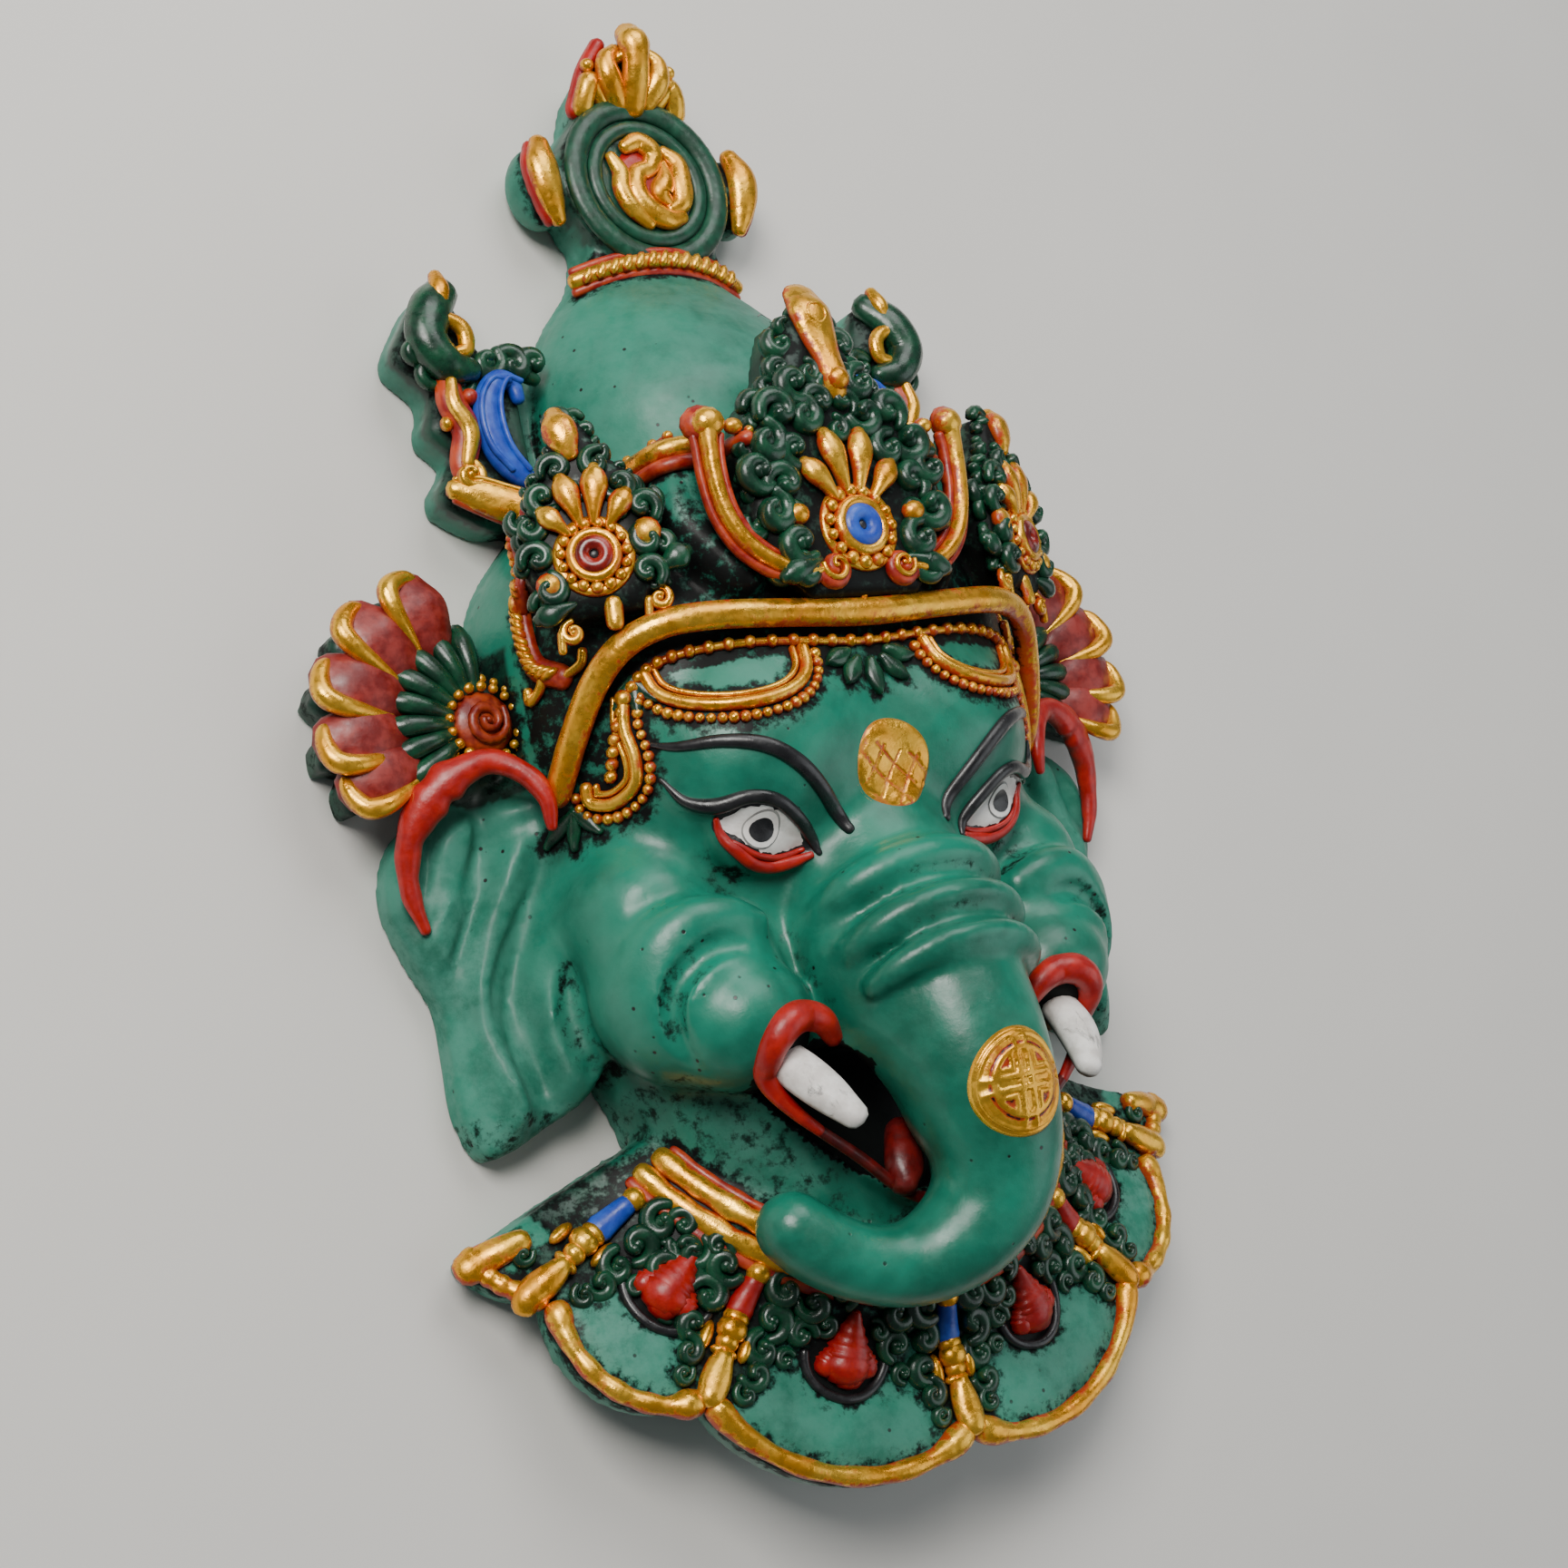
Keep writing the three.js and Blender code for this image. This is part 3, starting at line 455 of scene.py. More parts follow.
def add_face(field):
    for side in SIDES:
        for centre, radii, middle, reach, low, high, blend in SWELLINGS:
            window = (side * middle - reach, *low), (side * middle + reach, *high)
            field.add(ellipsoid((side * centre[0], *centre[1:]), radii), *window, blend)
        add_chain(field, mirrored(UPPER_LID, side), 1.2, 40)
        add_chain(field, mirrored(LOWER_LID, side), 1.2, 32)
    field.add(dome(JAW), (-46, 33, -3), (46, 82, 52), 3)
    for side in SIDES:
        add_chain(field, mirrored(CHEEK_ROLL, side), 2.5, 50)
        add_chain(field, mirrored(CHEEK_GROOVE, side), 1.0, 60, carve=True)
        add_chain(field, mirrored(CHEEK_RIM, side), 2.2, 50, carve=True)
    field.carve(mouth_scoop, (-40, 36, 24), (40, 72, 63), 1.2)
    add_chain(field, TRUNK, 3.5, 70)
    for side in SIDES:
        add_chain(field, mirrored(TRUNK_SHOULDER, side), 3, 50)
    for fold in TRUNK_FOLDS:
        add_chain(field, fold_arc(*fold), 1.6, 40)
    for groove in TRUNK_GROOVES:
        add_chain(field, fold_arc(*groove), 1.5, 40, carve=True)


def add_crown(field):
    field.add(relief(both_ways(CENTRE_LEAF), leaf_height, leaf_place(0)), (-21, 132, 34), (21, 185, 51), 0.8)
    for side in SIDES:
        outline = both_ways(SIDE_LEAF) * (side, 1)
        middle = side * SIDE_LEAF_X
        window = (middle - 16, 134, 18), (middle + 16, 170, 44)
        field.add(relief(outline, leaf_height, leaf_place(middle)), *window, 0.8)
        add_chain(field, mirrored([(23, 160, 34, 4.5), (24, 150, 36, 5), (19, 141, 39, 5)], side), 2)
        ornament = closed_curve(mirrored(SIDE_ORNAMENT, side), 90)
        field.add(relief(ornament, side_height), (side * 40 - 17, 157, -3), (side * 40 + 17, 204, 14), 1)


def side_height(u, v, inward):
    outer = np.clip((np.abs(u) - 31) / 3.5, 0, 1)
    return 3 + outer * (4.2 + 3 * (1 - np.exp(-inward / 2.5)))


def leaf_height(u, v, inward):
    return LEAF_THICKNESS - 2.2 * np.exp(-inward / 1.1)


def disc_shape(x, y, z):
    return np.maximum(np.hypot(x, y - DISC_CENTRE_Y) - DISC_RADIUS, z - DISC_TOP)


def spine_height(u, v, inward):
    return 10 + 0.2 * np.clip(v - 234, 0, 12) - 1.5 * np.exp(-inward)


def fan_height(u, v, inward):
    return 5.2 + 6.2 * np.clip(inward / 10, 0, 1) ** 0.8


def add_top(field):
    field.add(disc_shape, (-19, 203, -3), (19, 241, 16), 0.8)
    field.add(relief(both_ways(SPINE), spine_height), (-16, 203, -3), (16, 252, 15), 0.8)
    for side in SIDES:
        lobe = ellipsoid((side * 19.3, 222.6, 5.2), (5.2, 7.4, 5.6))
        field.add(lobe, (side * 19 - 8, 212, -3), (side * 19 + 8, 233, 14), 1)


def add_ears(field):
    for side in SIDES:
        low, high = (min(side * 30, side * 76), 56, -3), (max(side * 30, side * 76), 122, 34)
        outline = closed_curve(mirrored(EAR, side), 90)
        field.add(relief(outline, ear_height), low, high, 3)
        low, high = (min(side * 36, side * 84), 108, -3), (max(side * 36, side * 84), 153, 16)
        field.add(relief(fan_outline(side), fan_height), low, high, 1.5)


def hollow_back(field):
    """The open back: head, bun and neck hollow at one wall's distance, and all cut off flat."""
    bun = [[148, 25, 24, 2.3]] + BUN[2:]
    for rows, inset in ((HEAD[2:], SHELL_WALL), (bun, SHELL_WALL), (NECK, SHELL_WALL), (THROAT, 0.0)):
        field.carve(dome(rows, inset), (-60, 8, -3), (60, 216, 60), 2)
    field.values[...] = np.maximum(field.values, 0.02 - field.heights())


def body_field():
    field = Field((-84, -4, -3), (84, 253, 63), FIELD_STEP)
    field.add(dome(HEAD), (-60, 44, -3), (60, 172, 56))
    field.add(dome(NECK), (-48, 26, -3), (48, 74, 40), 2.5)
    field.add(dome(BUN), (-38, 150, -3), (38, 216, 42), 1.5)
    field.add(collar_shape, (-84, -4, -3), (84, 62, 38), 2)
    add_ears(field)
    add_face(field)
    add_crown(field)
    add_top(field)
    hollow_back(field)
    return field


def surface_net(field):
    """One vertex in each cell that the surface crosses, and a quad round each crossed edge."""
    v = field.values
    inside = v < 0
    cells = tuple(n - 1 for n in v.shape)
    total = np.zeros(cells + (3,), np.float32)
    hits = np.zeros(cells, np.int16)
    span = [slice(0, n) for n in cells]
    for axis in range(3):
        others = [k for k in range(3) if k != axis]
        for i in (0, 1):
            for j in (0, 1):
                base = [None] * 3
                base[axis] = span[axis]
                base[others[0]] = slice(i, i + cells[others[0]])
                base[others[1]] = slice(j, j + cells[others[1]])
                ahead = list(base)
                ahead[axis] = slice(1, 1 + cells[axis])
                a, b = v[tuple(base)], v[tuple(ahead)]
                crossed = inside[tuple(base)] != inside[tuple(ahead)]
                t = np.where(crossed, a / np.where(crossed, a - b, 1), 0)
                total[..., axis] += t
                total[..., others[0]] += crossed * i
                total[..., others[1]] += crossed * j
                hits += crossed
    used = hits > 0
    number = np.full(cells, -1, np.int64)
    number[used] = np.arange(used.sum())
    index = np.argwhere(used)
    points = field.low + field.step * (index + total[used] / hits[used][:, None])
    quads = []
    for axis in range(3):
        u, w = [(1, 2), (2, 0), (0, 1)][axis]
        a = inside[tuple(slice(0, -1) if k == axis else slice(1, -1) for k in range(3))]
        b = inside[tuple(slice(1, None) if k == axis else slice(1, -1) for k in range(3))]
        at = np.argwhere(a != b)
        at[:, [k for k in range(3) if k != axis]] += 1
        corners = []
        for du, dw in ((0, 0), (1, 0), (1, 1), (0, 1)):
            c = at.copy()
            c[:, u] -= du
            c[:, w] -= dw
            corners.append(number[c[:, 0], c[:, 1], c[:, 2]])
        quad = np.stack(corners, 1)
        rising = a[tuple((at - [0 if k == axis else 1 for k in range(3)]).T)]
        quad[~rising] = quad[~rising][:, ::-1]
        quads.append(quad)
    return points, np.vstack(quads)


def smoothed(points, quads, rounds=3, share=0.5, back=-0.52):
    """Points eased towards their neighbours and back again, so that form stays and steps go."""
    edges = np.vstack([quads[:, [0, 1]], quads[:, [1, 2]], quads[:, [2, 3]], quads[:, [3, 0]]])
    count = np.bincount(edges.ravel(), minlength=len(points)).astype(float)
    for _ in range(rounds):
        for factor in (share, back):
            total = np.zeros_like(points)
            for k in range(3):
                total[:, k] = np.bincount(edges[:, 0], points[edges[:, 1], k], len(points))
                total[:, k] += np.bincount(edges[:, 1], points[edges[:, 0], k], len(points))
            points = points + factor * (total / np.maximum(count, 1)[:, None] - points)
    return points


def mesh_object(name, points, faces, material):
    mesh = bpy.data.meshes.new(name)
    mesh.from_pydata(to_row(points).tolist(), [], [list(map(int, f)) for f in faces])
    mesh.validate()
    mesh.polygons.foreach_set("use_smooth", [True] * len(mesh.polygons))
    mesh.materials.append(material)
    obj = bpy.data.objects.new(name, mesh)
    bpy.context.scene.collection.objects.link(obj)
    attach(obj, "root")
    return obj


def thinned(obj, triangles):
    """A body with that many triangles, fewest where it is nearly flat; its points and their normals."""
    modifier = obj.modifiers.new("thinned", "DECIMATE")
    modifier.ratio = triangles / sum(len(face.vertices) - 2 for face in obj.data.polygons)
    depsgraph = bpy.context.evaluated_depsgraph_get()
    mesh = bpy.data.meshes.new_from_object(obj.evaluated_get(depsgraph))
    obj.modifiers.clear()
    obj.data = mesh
    points = np.array([vertex.co for vertex in mesh.vertices]) * 1000
    points[:, 1] -= ROW_SHIFT_Y
    return points, np.array([normal.vector for normal in mesh.vertex_normals])


def unit(rows):
    return rows / np.maximum(np.linalg.norm(rows, axis=1, keepdims=True), 1e-9)


class Skin:
    """The body's surface, for laying ornaments on it."""

    def __init__(self, points, quads):
        self.tree = BVHTree.FromPolygons(points.tolist(), quads.tolist())

    def under(self, x, y, top=75.0):
        """The front surface straight below a point of the plan, with its normal."""
        hit, normal, _, _ = self.tree.ray_cast(Vector((x, y, top)), Vector((0, 0, -1)))
        if hit is None:
            hit, normal, _, _ = self.tree.find_nearest(Vector((x, y, 5.0)))
        return np.array(hit), np.array(normal)

    def near(self, p):
        hit, normal, _, _ = self.tree.find_nearest(Vector(p))
        return np.array(hit), np.array(normal)

    def laid(self, rows, lift=0.0, count=0):
        """A curve through x, y rows dropped on the skin: points, normals and the other columns."""
        fine = curve_through(rows, count or 8 * len(rows))
        hits = [self.under(x, y) for x, y in fine[:, :2]]
        normals = unit(eased(np.array([n for _, n in hits]), 2))
        points = eased(np.array([p for p, _ in hits]), 1) + lift * normals
        return points, normals, fine[:, 2:]

    def held(self, rows, lift=0.0, count=0):
        """A curve through x, y, z rows moved to the nearest skin."""
        fine = curve_through(rows, count or 8 * len(rows))
        hits = [self.near(p) for p in fine[:, :3]]
        normals = unit(eased(np.array([n for _, n in hits]), 3))
        points = eased(np.array([p for p, _ in hits]), 2) + lift * normals
        return points, normals, fine[:, 3:]


def eased(rows, rounds):
    for _ in range(rounds):
        inner = 0.25 * rows[:-2] + 0.5 * rows[1:-1] + 0.25 * rows[2:]
        rows = np.vstack([rows[:1], inner, rows[-1:]])
    return rows


def round_ends(points, normals, widths, heights):
    """A bar's rows with two smaller sections more at each end, so that it closes roundly."""
    tangent = unit(np.gradient(points, axis=0))
    turns = (0.9, 0.45)
    start = [points[0] - tangent[0] * widths[0] * math.sin(t) for t in turns]
    end = [points[-1] + tangent[-1] * widths[-1] * math.sin(t) for t in turns[::-1]]
    small = np.array([math.cos(t) for t in turns])
    points = np.vstack([start, points, end])
    tangent = np.vstack([tangent[:1]] * 2 + [tangent] + [tangent[-1:]] * 2)
    normals = np.vstack([normals[:1]] * 2 + [normals] + [normals[-1:]] * 2)
    widths = np.concatenate([small * widths[0], widths, small[::-1] * widths[-1]])
    heights = np.concatenate([small * heights[0], heights, small[::-1] * heights[-1]])
    return points, tangent, normals, widths, heights


class Pile:
    """Cast ornaments of one colour in one area, gathered into one mesh."""
    every = []

    def __init__(self, name, paint):
        self.name, self.paint = name, paint
        self.points, self.faces, self.rise, self.count = [], [], [], 0
        Pile.every.append(self)

    def add(self, points, faces, rise):
        self.points.append(points)
        self.rise.append(rise)
        self.faces += [tuple(i + self.count for i in face) for face in faces]
        self.count += len(points)

    def sweep(self, points, normals, widths, heights, sides=10, closed=False):
        """A rounded bar along points; widths and heights are half sizes, rise is 1 on its crest."""
        points = np.asarray(points, float)
        n = len(points)
        normals = np.broadcast_to(np.asarray(normals, float), points.shape)
        widths = np.broadcast_to(np.asarray(widths, float), n)
        heights = np.broadcast_to(np.asarray(heights, float), n)
        if closed:
            tangent = unit(np.roll(points, -1, 0) - np.roll(points, 1, 0))
        else:
            points, tangent, normals, widths, heights = round_ends(points, normals, widths, heights)
            n = len(points)
        across = unit(np.cross(tangent, normals))
        up = np.cross(across, tangent)
        angle = np.broadcast_to(np.linspace(0, 2 * np.pi, sides, endpoint=False), (n, sides))
        ring = (
            points[:, None] + across[:, None] * (np.cos(angle) * widths[:, None])[..., None]
            + up[:, None] * (np.sin(angle) * heights[:, None])[..., None]
        )
        rise = np.broadcast_to(0.5 + 0.5 * np.sin(angle), (n, sides))
        vertices = ring.reshape(-1, 3)
        faces = []
        for i in range(n if closed else n - 1):
            k = (i + 1) % n
            for j in range(sides):
                m = (j + 1) % sides
                faces.append((i * sides + j, k * sides + j, k * sides + m, i * sides + m))
        rises = rise.reshape(-1)
        if not closed:
            ends = [vertices[:sides].mean(0), vertices[-sides:].mean(0)]
            ends[0] = ends[0] - tangent[0] * widths[2] * 0.16
            ends[1] = ends[1] + tangent[-1] * widths[-3] * 0.16
            base = len(vertices)
            vertices = np.vstack([vertices, ends])
            rises = np.concatenate([rises, [0.5, 0.5]])
            last = (n - 1) * sides
            faces += [(base, j, (j + 1) % sides) for j in range(sides)]
            faces += [(base + 1, last + (j + 1) % sides, last + j) for j in range(sides)]
        self.add(vertices, faces, rises)

    def ball(self, centre, normal, radii, along=(0, 1, 0), sides=12, rings=7):
        """A rounded bead; radii are across, along and out."""
        normal = np.asarray(normal, float) / np.linalg.norm(normal)
        along = np.asarray(along, float)
        across = np.cross(along, normal)
        if np.linalg.norm(across) < 1e-6:
            across = np.cross((1.0, 0, 0), normal)
        across /= np.linalg.norm(across)
        along = np.cross(normal, across)
        angle = np.linspace(0, 2 * np.pi, sides, endpoint=False)
        vertices, rises, faces = [centre - normal * radii[2]], [0.0], []
        for i in range(1, rings):
            tilt = math.pi * i / rings
            for a in angle:
                out = math.sin(tilt)
                vertices.append(
                    centre + across * radii[0] * out * math.cos(a) + along * radii[1] * out * math.sin(a)
                    - normal * radii[2] * math.cos(tilt)
                )
                rises.append(0.5 - 0.5 * math.cos(tilt))
        vertices.append(centre + normal * radii[2])
        rises.append(1.0)
        last = len(vertices) - 1
        for j in range(sides):
            m = (j + 1) % sides
            faces.append((0, 1 + m, 1 + j))
            faces.append((last, last - sides + j, last - sides + m))
            for i in range(rings - 2):
                a = 1 + i * sides
                faces.append((a + j, a + m, a + sides + m, a + sides + j))
        self.add(np.array(vertices), faces, np.array(rises))

    def stroke(self, place, rows, sides=10, count=0):
        """A bar on a flat place; rows are u, v, w, half width, half height."""
        fine = curve_through(rows, count or 7 * len(rows))
        normal = place.turned([(0, 0, 1)])[0]
        self.sweep(place.world(fine[:, :3]), normal, fine[:, 3], fine[:, 4], sides)

    def bead(self, place, u, v, w, radii, lean=0.0):
        centre = place.world([(u, v, w)])[0]
        normal, along = place.turned([(0, 0, 1), (math.sin(lean), math.cos(lean), 0)])
        self.ball(centre, normal, radii, along)

    def ring(self, place, u, v, w, radius, width, height, sides=8):
        angle = np.linspace(0, 2 * np.pi, 40, endpoint=False)
        rows = np.stack([u + radius * np.cos(angle), v + radius * np.sin(angle), np.full(40, w)], 1)
        self.sweep(place.world(rows), place.turned([(0, 0, 1)])[0], width, height, sides, closed=True)

    def bead_ring(self, place, u, v, w, radius, count, size, start=0.0):
        for k in range(count):
            a = start + 2 * math.pi * k / count
            jitter = 1 + 0.12 * math.sin(k * 5.3)
            spot = (u + radius * math.cos(a), v + radius * math.sin(a))
            self.bead(place, *spot, w, (size * jitter, size * jitter, size * 0.95), a)

    def spiral(self, place, u, v, w, radius, start, hand, turns=1.3, width=0.9, height=0.9):
        """A curl that winds in to a small boss."""
        rows = []
        for t in np.linspace(0, 1, 14):
            a = start + hand * 2 * math.pi * turns * t
            r = radius * (1 - 0.74 * t)
            size = width * (0.75 + 0.35 * math.sin(math.pi * min(t * 1.3, 1)))
            spot = (u + r * math.cos(a), v + r * math.sin(a), w + 0.5 * t)
            rows.append((*spot, size, height * (0.8 + 0.4 * t)))
        self.stroke(place, rows, 8, 24)
        self.bead(place, u, v, w + 0.5, (width * 0.85,) * 3)

    def petal(self, place, u, v, w, lean, length, width, height):
        """A tear-shaped petal that grows wider from u, v towards its round end."""
        rows = []
        for t, share in ((0, 0.35), (0.3, 0.62), (0.62, 1), (0.85, 0.86), (0.95, 0.55)):
            rows.append((
                u + length * t * math.sin(lean), v + length * t * math.cos(lean),
                w + height * 0.5 * math.sin(math.pi * t), width * share, height * (0.6 + 0.4 * share),
            ))
        self.stroke(place, rows, 12, 16)

    def patch(self, skin, centre, outline, lift, rings=10, rise=None):
        """A painted or low cast patch: an outline in the plan, filled in rings on the skin."""
        outline = np.asarray(outline, float)
        centre = np.asarray(centre, float)
        n = len(outline)
        vertices, rises = [], []
        for i in range(rings):
            out = 1 - i / rings
            for x, y in centre + (outline - centre) * out:
                p, normal = skin.under(x, y)
                vertices.append(p + normal * lift(x - centre[0], y - centre[1], out))
                rises.append(1.0 if rise is None else rise(x - centre[0], y - centre[1], out))
        p, normal = skin.under(*centre)
        vertices.append(p + normal * lift(0, 0, 0))
        rises.append(1.0 if rise is None else rise(0, 0, 0))
        turn = np.sum(outline[:, 0] * np.roll(outline[:, 1], -1) - np.roll(outline[:, 0], -1) * outline[:, 1])
        faces = []
        for i in range(rings - 1):
            for j in range(n):
                m = (j + 1) % n
                quad = (i * n + j, i * n + m, (i + 1) * n + m, (i + 1) * n + j)
                faces.append(quad if turn > 0 else quad[::-1])
        last = (rings - 1) * n
        for j in range(n):
            m = (j + 1) % n
            faces.append((last + j, last + m, rings * n) if turn > 0 else (last + m, last + j, rings * n))
        self.add(np.array(vertices), faces, np.array(rises))

    def obj(self):
        points, rise = np.vstack(self.points), np.concatenate(self.rise)
        made = mesh_object(self.name, points, self.faces, self.paint)
        store(made, "rise", rise)
        return made


def store(obj, name, values):
    layer = obj.data.attributes.new(name, "FLOAT", "POINT")
    layer.data.foreach_set("value", np.asarray(values, np.float32))


def colour(red, green, blue):
    """A display colour from 0 to 255 as the shader's linear one."""
    def linear(c):
        c /= 255
        return c / 12.92 if c <= 0.04045 else ((c + 0.055) / 1.055) ** 2.4
    return (linear(red), linear(green), linear(blue), 1.0)


class Paint:
    """A short way to write a node material."""

    def __init__(self, name):
        self.material = bpy.data.materials.new(name)
        self.material.use_nodes = True
        self.tree = self.material.node_tree
        self.shader = self.tree.nodes["Principled BSDF"]
        self.place = self.tree.nodes.new("ShaderNodeTexCoord").outputs["Object"]

    def feed(self, socket, value):
        if isinstance(value, bpy.types.NodeSocket):
            self.tree.links.new(value, socket)
        else:
            socket.default_value = value

    def noise(self, size_mm, detail=3.0, rough=0.55, warp=0.0, stretch=(1, 1, 1)):
        node = self.tree.nodes.new("ShaderNodeTexNoise")
        vector = self.place
        if stretch != (1, 1, 1):
            mapping = self.tree.nodes.new("ShaderNodeMapping")
            mapping.inputs["Scale"].default_value = stretch
            self.tree.links.new(vector, mapping.inputs["Vector"])
            vector = mapping.outputs["Vector"]
        self.tree.links.new(vector, node.inputs["Vector"])
        node.inputs["Scale"].default_value = 1000 / size_mm
        node.inputs["Detail"].default_value = detail
        node.inputs["Roughness"].default_value = rough
        node.inputs["Distortion"].default_value = warp
        return node.outputs["Fac"]

    def specks(self, size_mm, reach):
        """1 in small round dots scattered on a grid of that size."""
        node = self.tree.nodes.new("ShaderNodeTexVoronoi")
        self.tree.links.new(self.place, node.inputs["Vector"])
        node.inputs["Scale"].default_value = 1000 / size_mm
        return self.ramp(node.outputs["Distance"], reach, reach * 0.6)

    def attribute(self, name):
        node = self.tree.nodes.new("ShaderNodeAttribute")
        node.attribute_name = name
        return node.outputs["Fac"]

    def ramp(self, value, low, high, start=0.0, end=1.0):
        node = self.tree.nodes.new("ShaderNodeMapRange")
        node.interpolation_type = "SMOOTHSTEP"
        wires = {"Value": value, "From Min": low, "From Max": high, "To Min": start, "To Max": end}
        for name, v in wires.items():
            self.feed(node.inputs[name], v)
        return node.outputs["Result"]

    def combine(self, kind, a, b):
        """Two numbers by a Math node of that kind, clamped to 0..1."""
        node = self.tree.nodes.new("ShaderNodeMath")
        node.operation = kind
        node.use_clamp = True
        self.feed(node.inputs[0], a)
        self.feed(node.inputs[1], b)
        return node.outputs[0]

    def mix(self, share, a, b):
        node = self.tree.nodes.new("ShaderNodeMix")
        node.data_type = "RGBA"
        self.feed(node.inputs["Factor"], share)
        self.feed(node.inputs["A"], a)
        self.feed(node.inputs["B"], b)
        return node.outputs["Result"]

    def bump(self, height, strength, depth_mm):
        node = self.tree.nodes.new("ShaderNodeBump")
        node.inputs["Strength"].default_value = strength
        node.inputs["Distance"].default_value = depth_mm / 1000
        self.tree.links.new(height, node.inputs["Height"])
        self.tree.links.new(node.outputs["Normal"], self.shader.inputs["Normal"])

    def finish(self, base, rough, metal=0.0, coat=0.0):
        self.feed(self.shader.inputs["Base Color"], base)
        self.feed(self.shader.inputs["Roughness"], rough)
        self.feed(self.shader.inputs["Metallic"], metal)
        self.shader.inputs["Coat Weight"].default_value = coat
        self.shader.inputs["Coat Roughness"].default_value = 0.25
        return self.material


NEAR_BLACK = colour(8, 12, 11)


def body_paint():
    """Turquoise resin, clouded, pin-holed, black wash and painted shade where it lies low, dull green
    grounds.
    """
    p = Paint("turquoise_resin")
    cloud = p.ramp(p.noise(26, 4, 0.6, 0.6), 0.36, 0.66)
    mottle = p.ramp(p.noise(7, 5, 0.65), 0.4, 0.68)
    base = p.mix(cloud, colour(6, 92, 72), colour(18, 122, 98))
    base = p.mix(p.combine("MULTIPLY", mottle, 0.28), base, colour(44, 140, 116))
    chalk = p.combine("MULTIPLY", p.attribute("chalk"), p.ramp(p.noise(5, 5, 0.7), 0.3, 0.62))
    base = p.mix(p.combine("MULTIPLY", chalk, 0.7), base, colour(86, 148, 130))
    ground = p.mix(mottle, colour(12, 44, 34), colour(24, 74, 56))
    base = p.mix(p.attribute("ground"), base, ground)
    break_up = p.ramp(p.noise(2.2, 5, 0.7), 0.3, 0.72, -0.35, 0.35)
    # The attribute read here darkens the resin to near black: black wash in hollows, and painted shade in
    # creases, under ornaments and in the mouth.
    add = p.tree.nodes.new("ShaderNodeMath")
    p.feed(add.inputs[0], p.attribute("wash_and_shade"))
    p.feed(add.inputs[1], break_up)
    wash_and_shade = p.ramp(add.outputs[0], 0.3, 0.85)
    dust = p.ramp(p.noise(1.6, 4, 0.8), 0.62, 0.8, 0.0, 0.5)
    dark = p.mix(dust, NEAR_BLACK, colour(58, 84, 78))
    base = p.mix(wash_and_shade, base, dark)
    holes = p.combine("MULTIPLY", p.specks(3.6, 0.11), p.ramp(p.noise(24, 2), 0.5, 0.56))
    base = p.mix(holes, base, NEAR_BLACK)
    rough = p.ramp(wash_and_shade, 0, 1, 0.3, 0.6)
    rough = p.combine("ADD", rough, p.ramp(p.noise(4, 4), 0.3, 0.7, 0.0, 0.14))
    rough = p.combine("ADD", rough, p.combine("MULTIPLY", p.attribute("chalk"), 0.45))
    low = p.combine("SUBTRACT", p.noise(3.2, 6, 0.6), p.combine("MULTIPLY", holes, 0.8))
    p.bump(low, 0.35, 0.35)
    p.feed(p.shader.inputs["Specular IOR Level"], p.ramp(wash_and_shade, 0, 1, 0.5, 0.15))
    p.shader.inputs["Subsurface Weight"].default_value = 0.06
    p.shader.inputs["Subsurface Radius"].default_value = (0.001, 0.003, 0.002)
    p.shader.inputs["Subsurface Scale"].default_value = 1.0
    return p.finish(base, rough, 0.0, 0.12)


def gilt_paint(name, under, wear=0.0):
    """Brushed gold on crests over a red or orange ground; black wash and painted shade at the foot of each
    form.
    """
    p = Paint(name)
    rise = p.attribute("rise")
    break_up = p.ramp(p.noise(2.0, 4, 0.7), 0.3, 0.7, -0.22, 0.22)
    height = p.tree.nodes.new("ShaderNodeMath")
    p.feed(height.inputs[0], rise)
    p.feed(height.inputs[1], break_up)
    gold = p.mix(p.ramp(p.noise(9, 2), 0.3, 0.7), colour(236, 160, 34), colour(252, 196, 64))
    under_mix = p.mix(p.ramp(p.noise(2.6, 4), 0.35, 0.65), under, colour(170, 70, 16))
    gilt = p.ramp(height.outputs[0], 0.6 + wear, 0.88 + wear)
    base = p.mix(gilt, under_mix, gold)
    # Black wash and painted shade at the foot of each form, where it meets the body.
    foot = p.ramp(height.outputs[0], 0.3, 0.1)
    base = p.mix(foot, base, colour(26, 18, 14))
    pits = p.ramp(p.noise(0.8, 3, 0.8), 0.7, 0.8)
    base = p.mix(p.combine("MULTIPLY", pits, 0.7), base, colour(110, 34, 8))
    rough = p.ramp(p.noise(1.7, 4), 0.3, 0.7, 0.2, 0.42)
    p.bump(p.noise(1.5, 4, 0.6), 0.5, 0.25)
    metal = p.combine("MULTIPLY", gilt, 0.85)
    return p.finish(base, rough, metal, 0.1)


def plain_paint(name, main, second, foot_colour=NEAR_BLACK, rough=(0.3, 0.5), foot=(0.34, 0.12), coat=0.15):
    """Glossy paint with a little colour drift, with black wash and painted shade where it lies low."""
    p = Paint(name)
    base = p.mix(p.ramp(p.noise(3, 4, 0.6), 0.36, 0.66), main, second)
    break_up = p.ramp(p.noise(1.8, 4, 0.7), 0.3, 0.7, -0.2, 0.2)
    height = p.tree.nodes.new("ShaderNodeMath")
    p.feed(height.inputs[0], p.attribute("rise"))
    p.feed(height.inputs[1], break_up)
    # Black wash and painted shade on the low side of each form.
    base = p.mix(p.ramp(height.outputs[0], foot[0], foot[1]), base, foot_colour)
    p.bump(p.noise(1.4, 4, 0.6), 0.45, 0.2)
    return p.finish(base, p.ramp(p.noise(1.6, 4), 0.3, 0.7, rough[0], rough[1]), 0.0, coat)


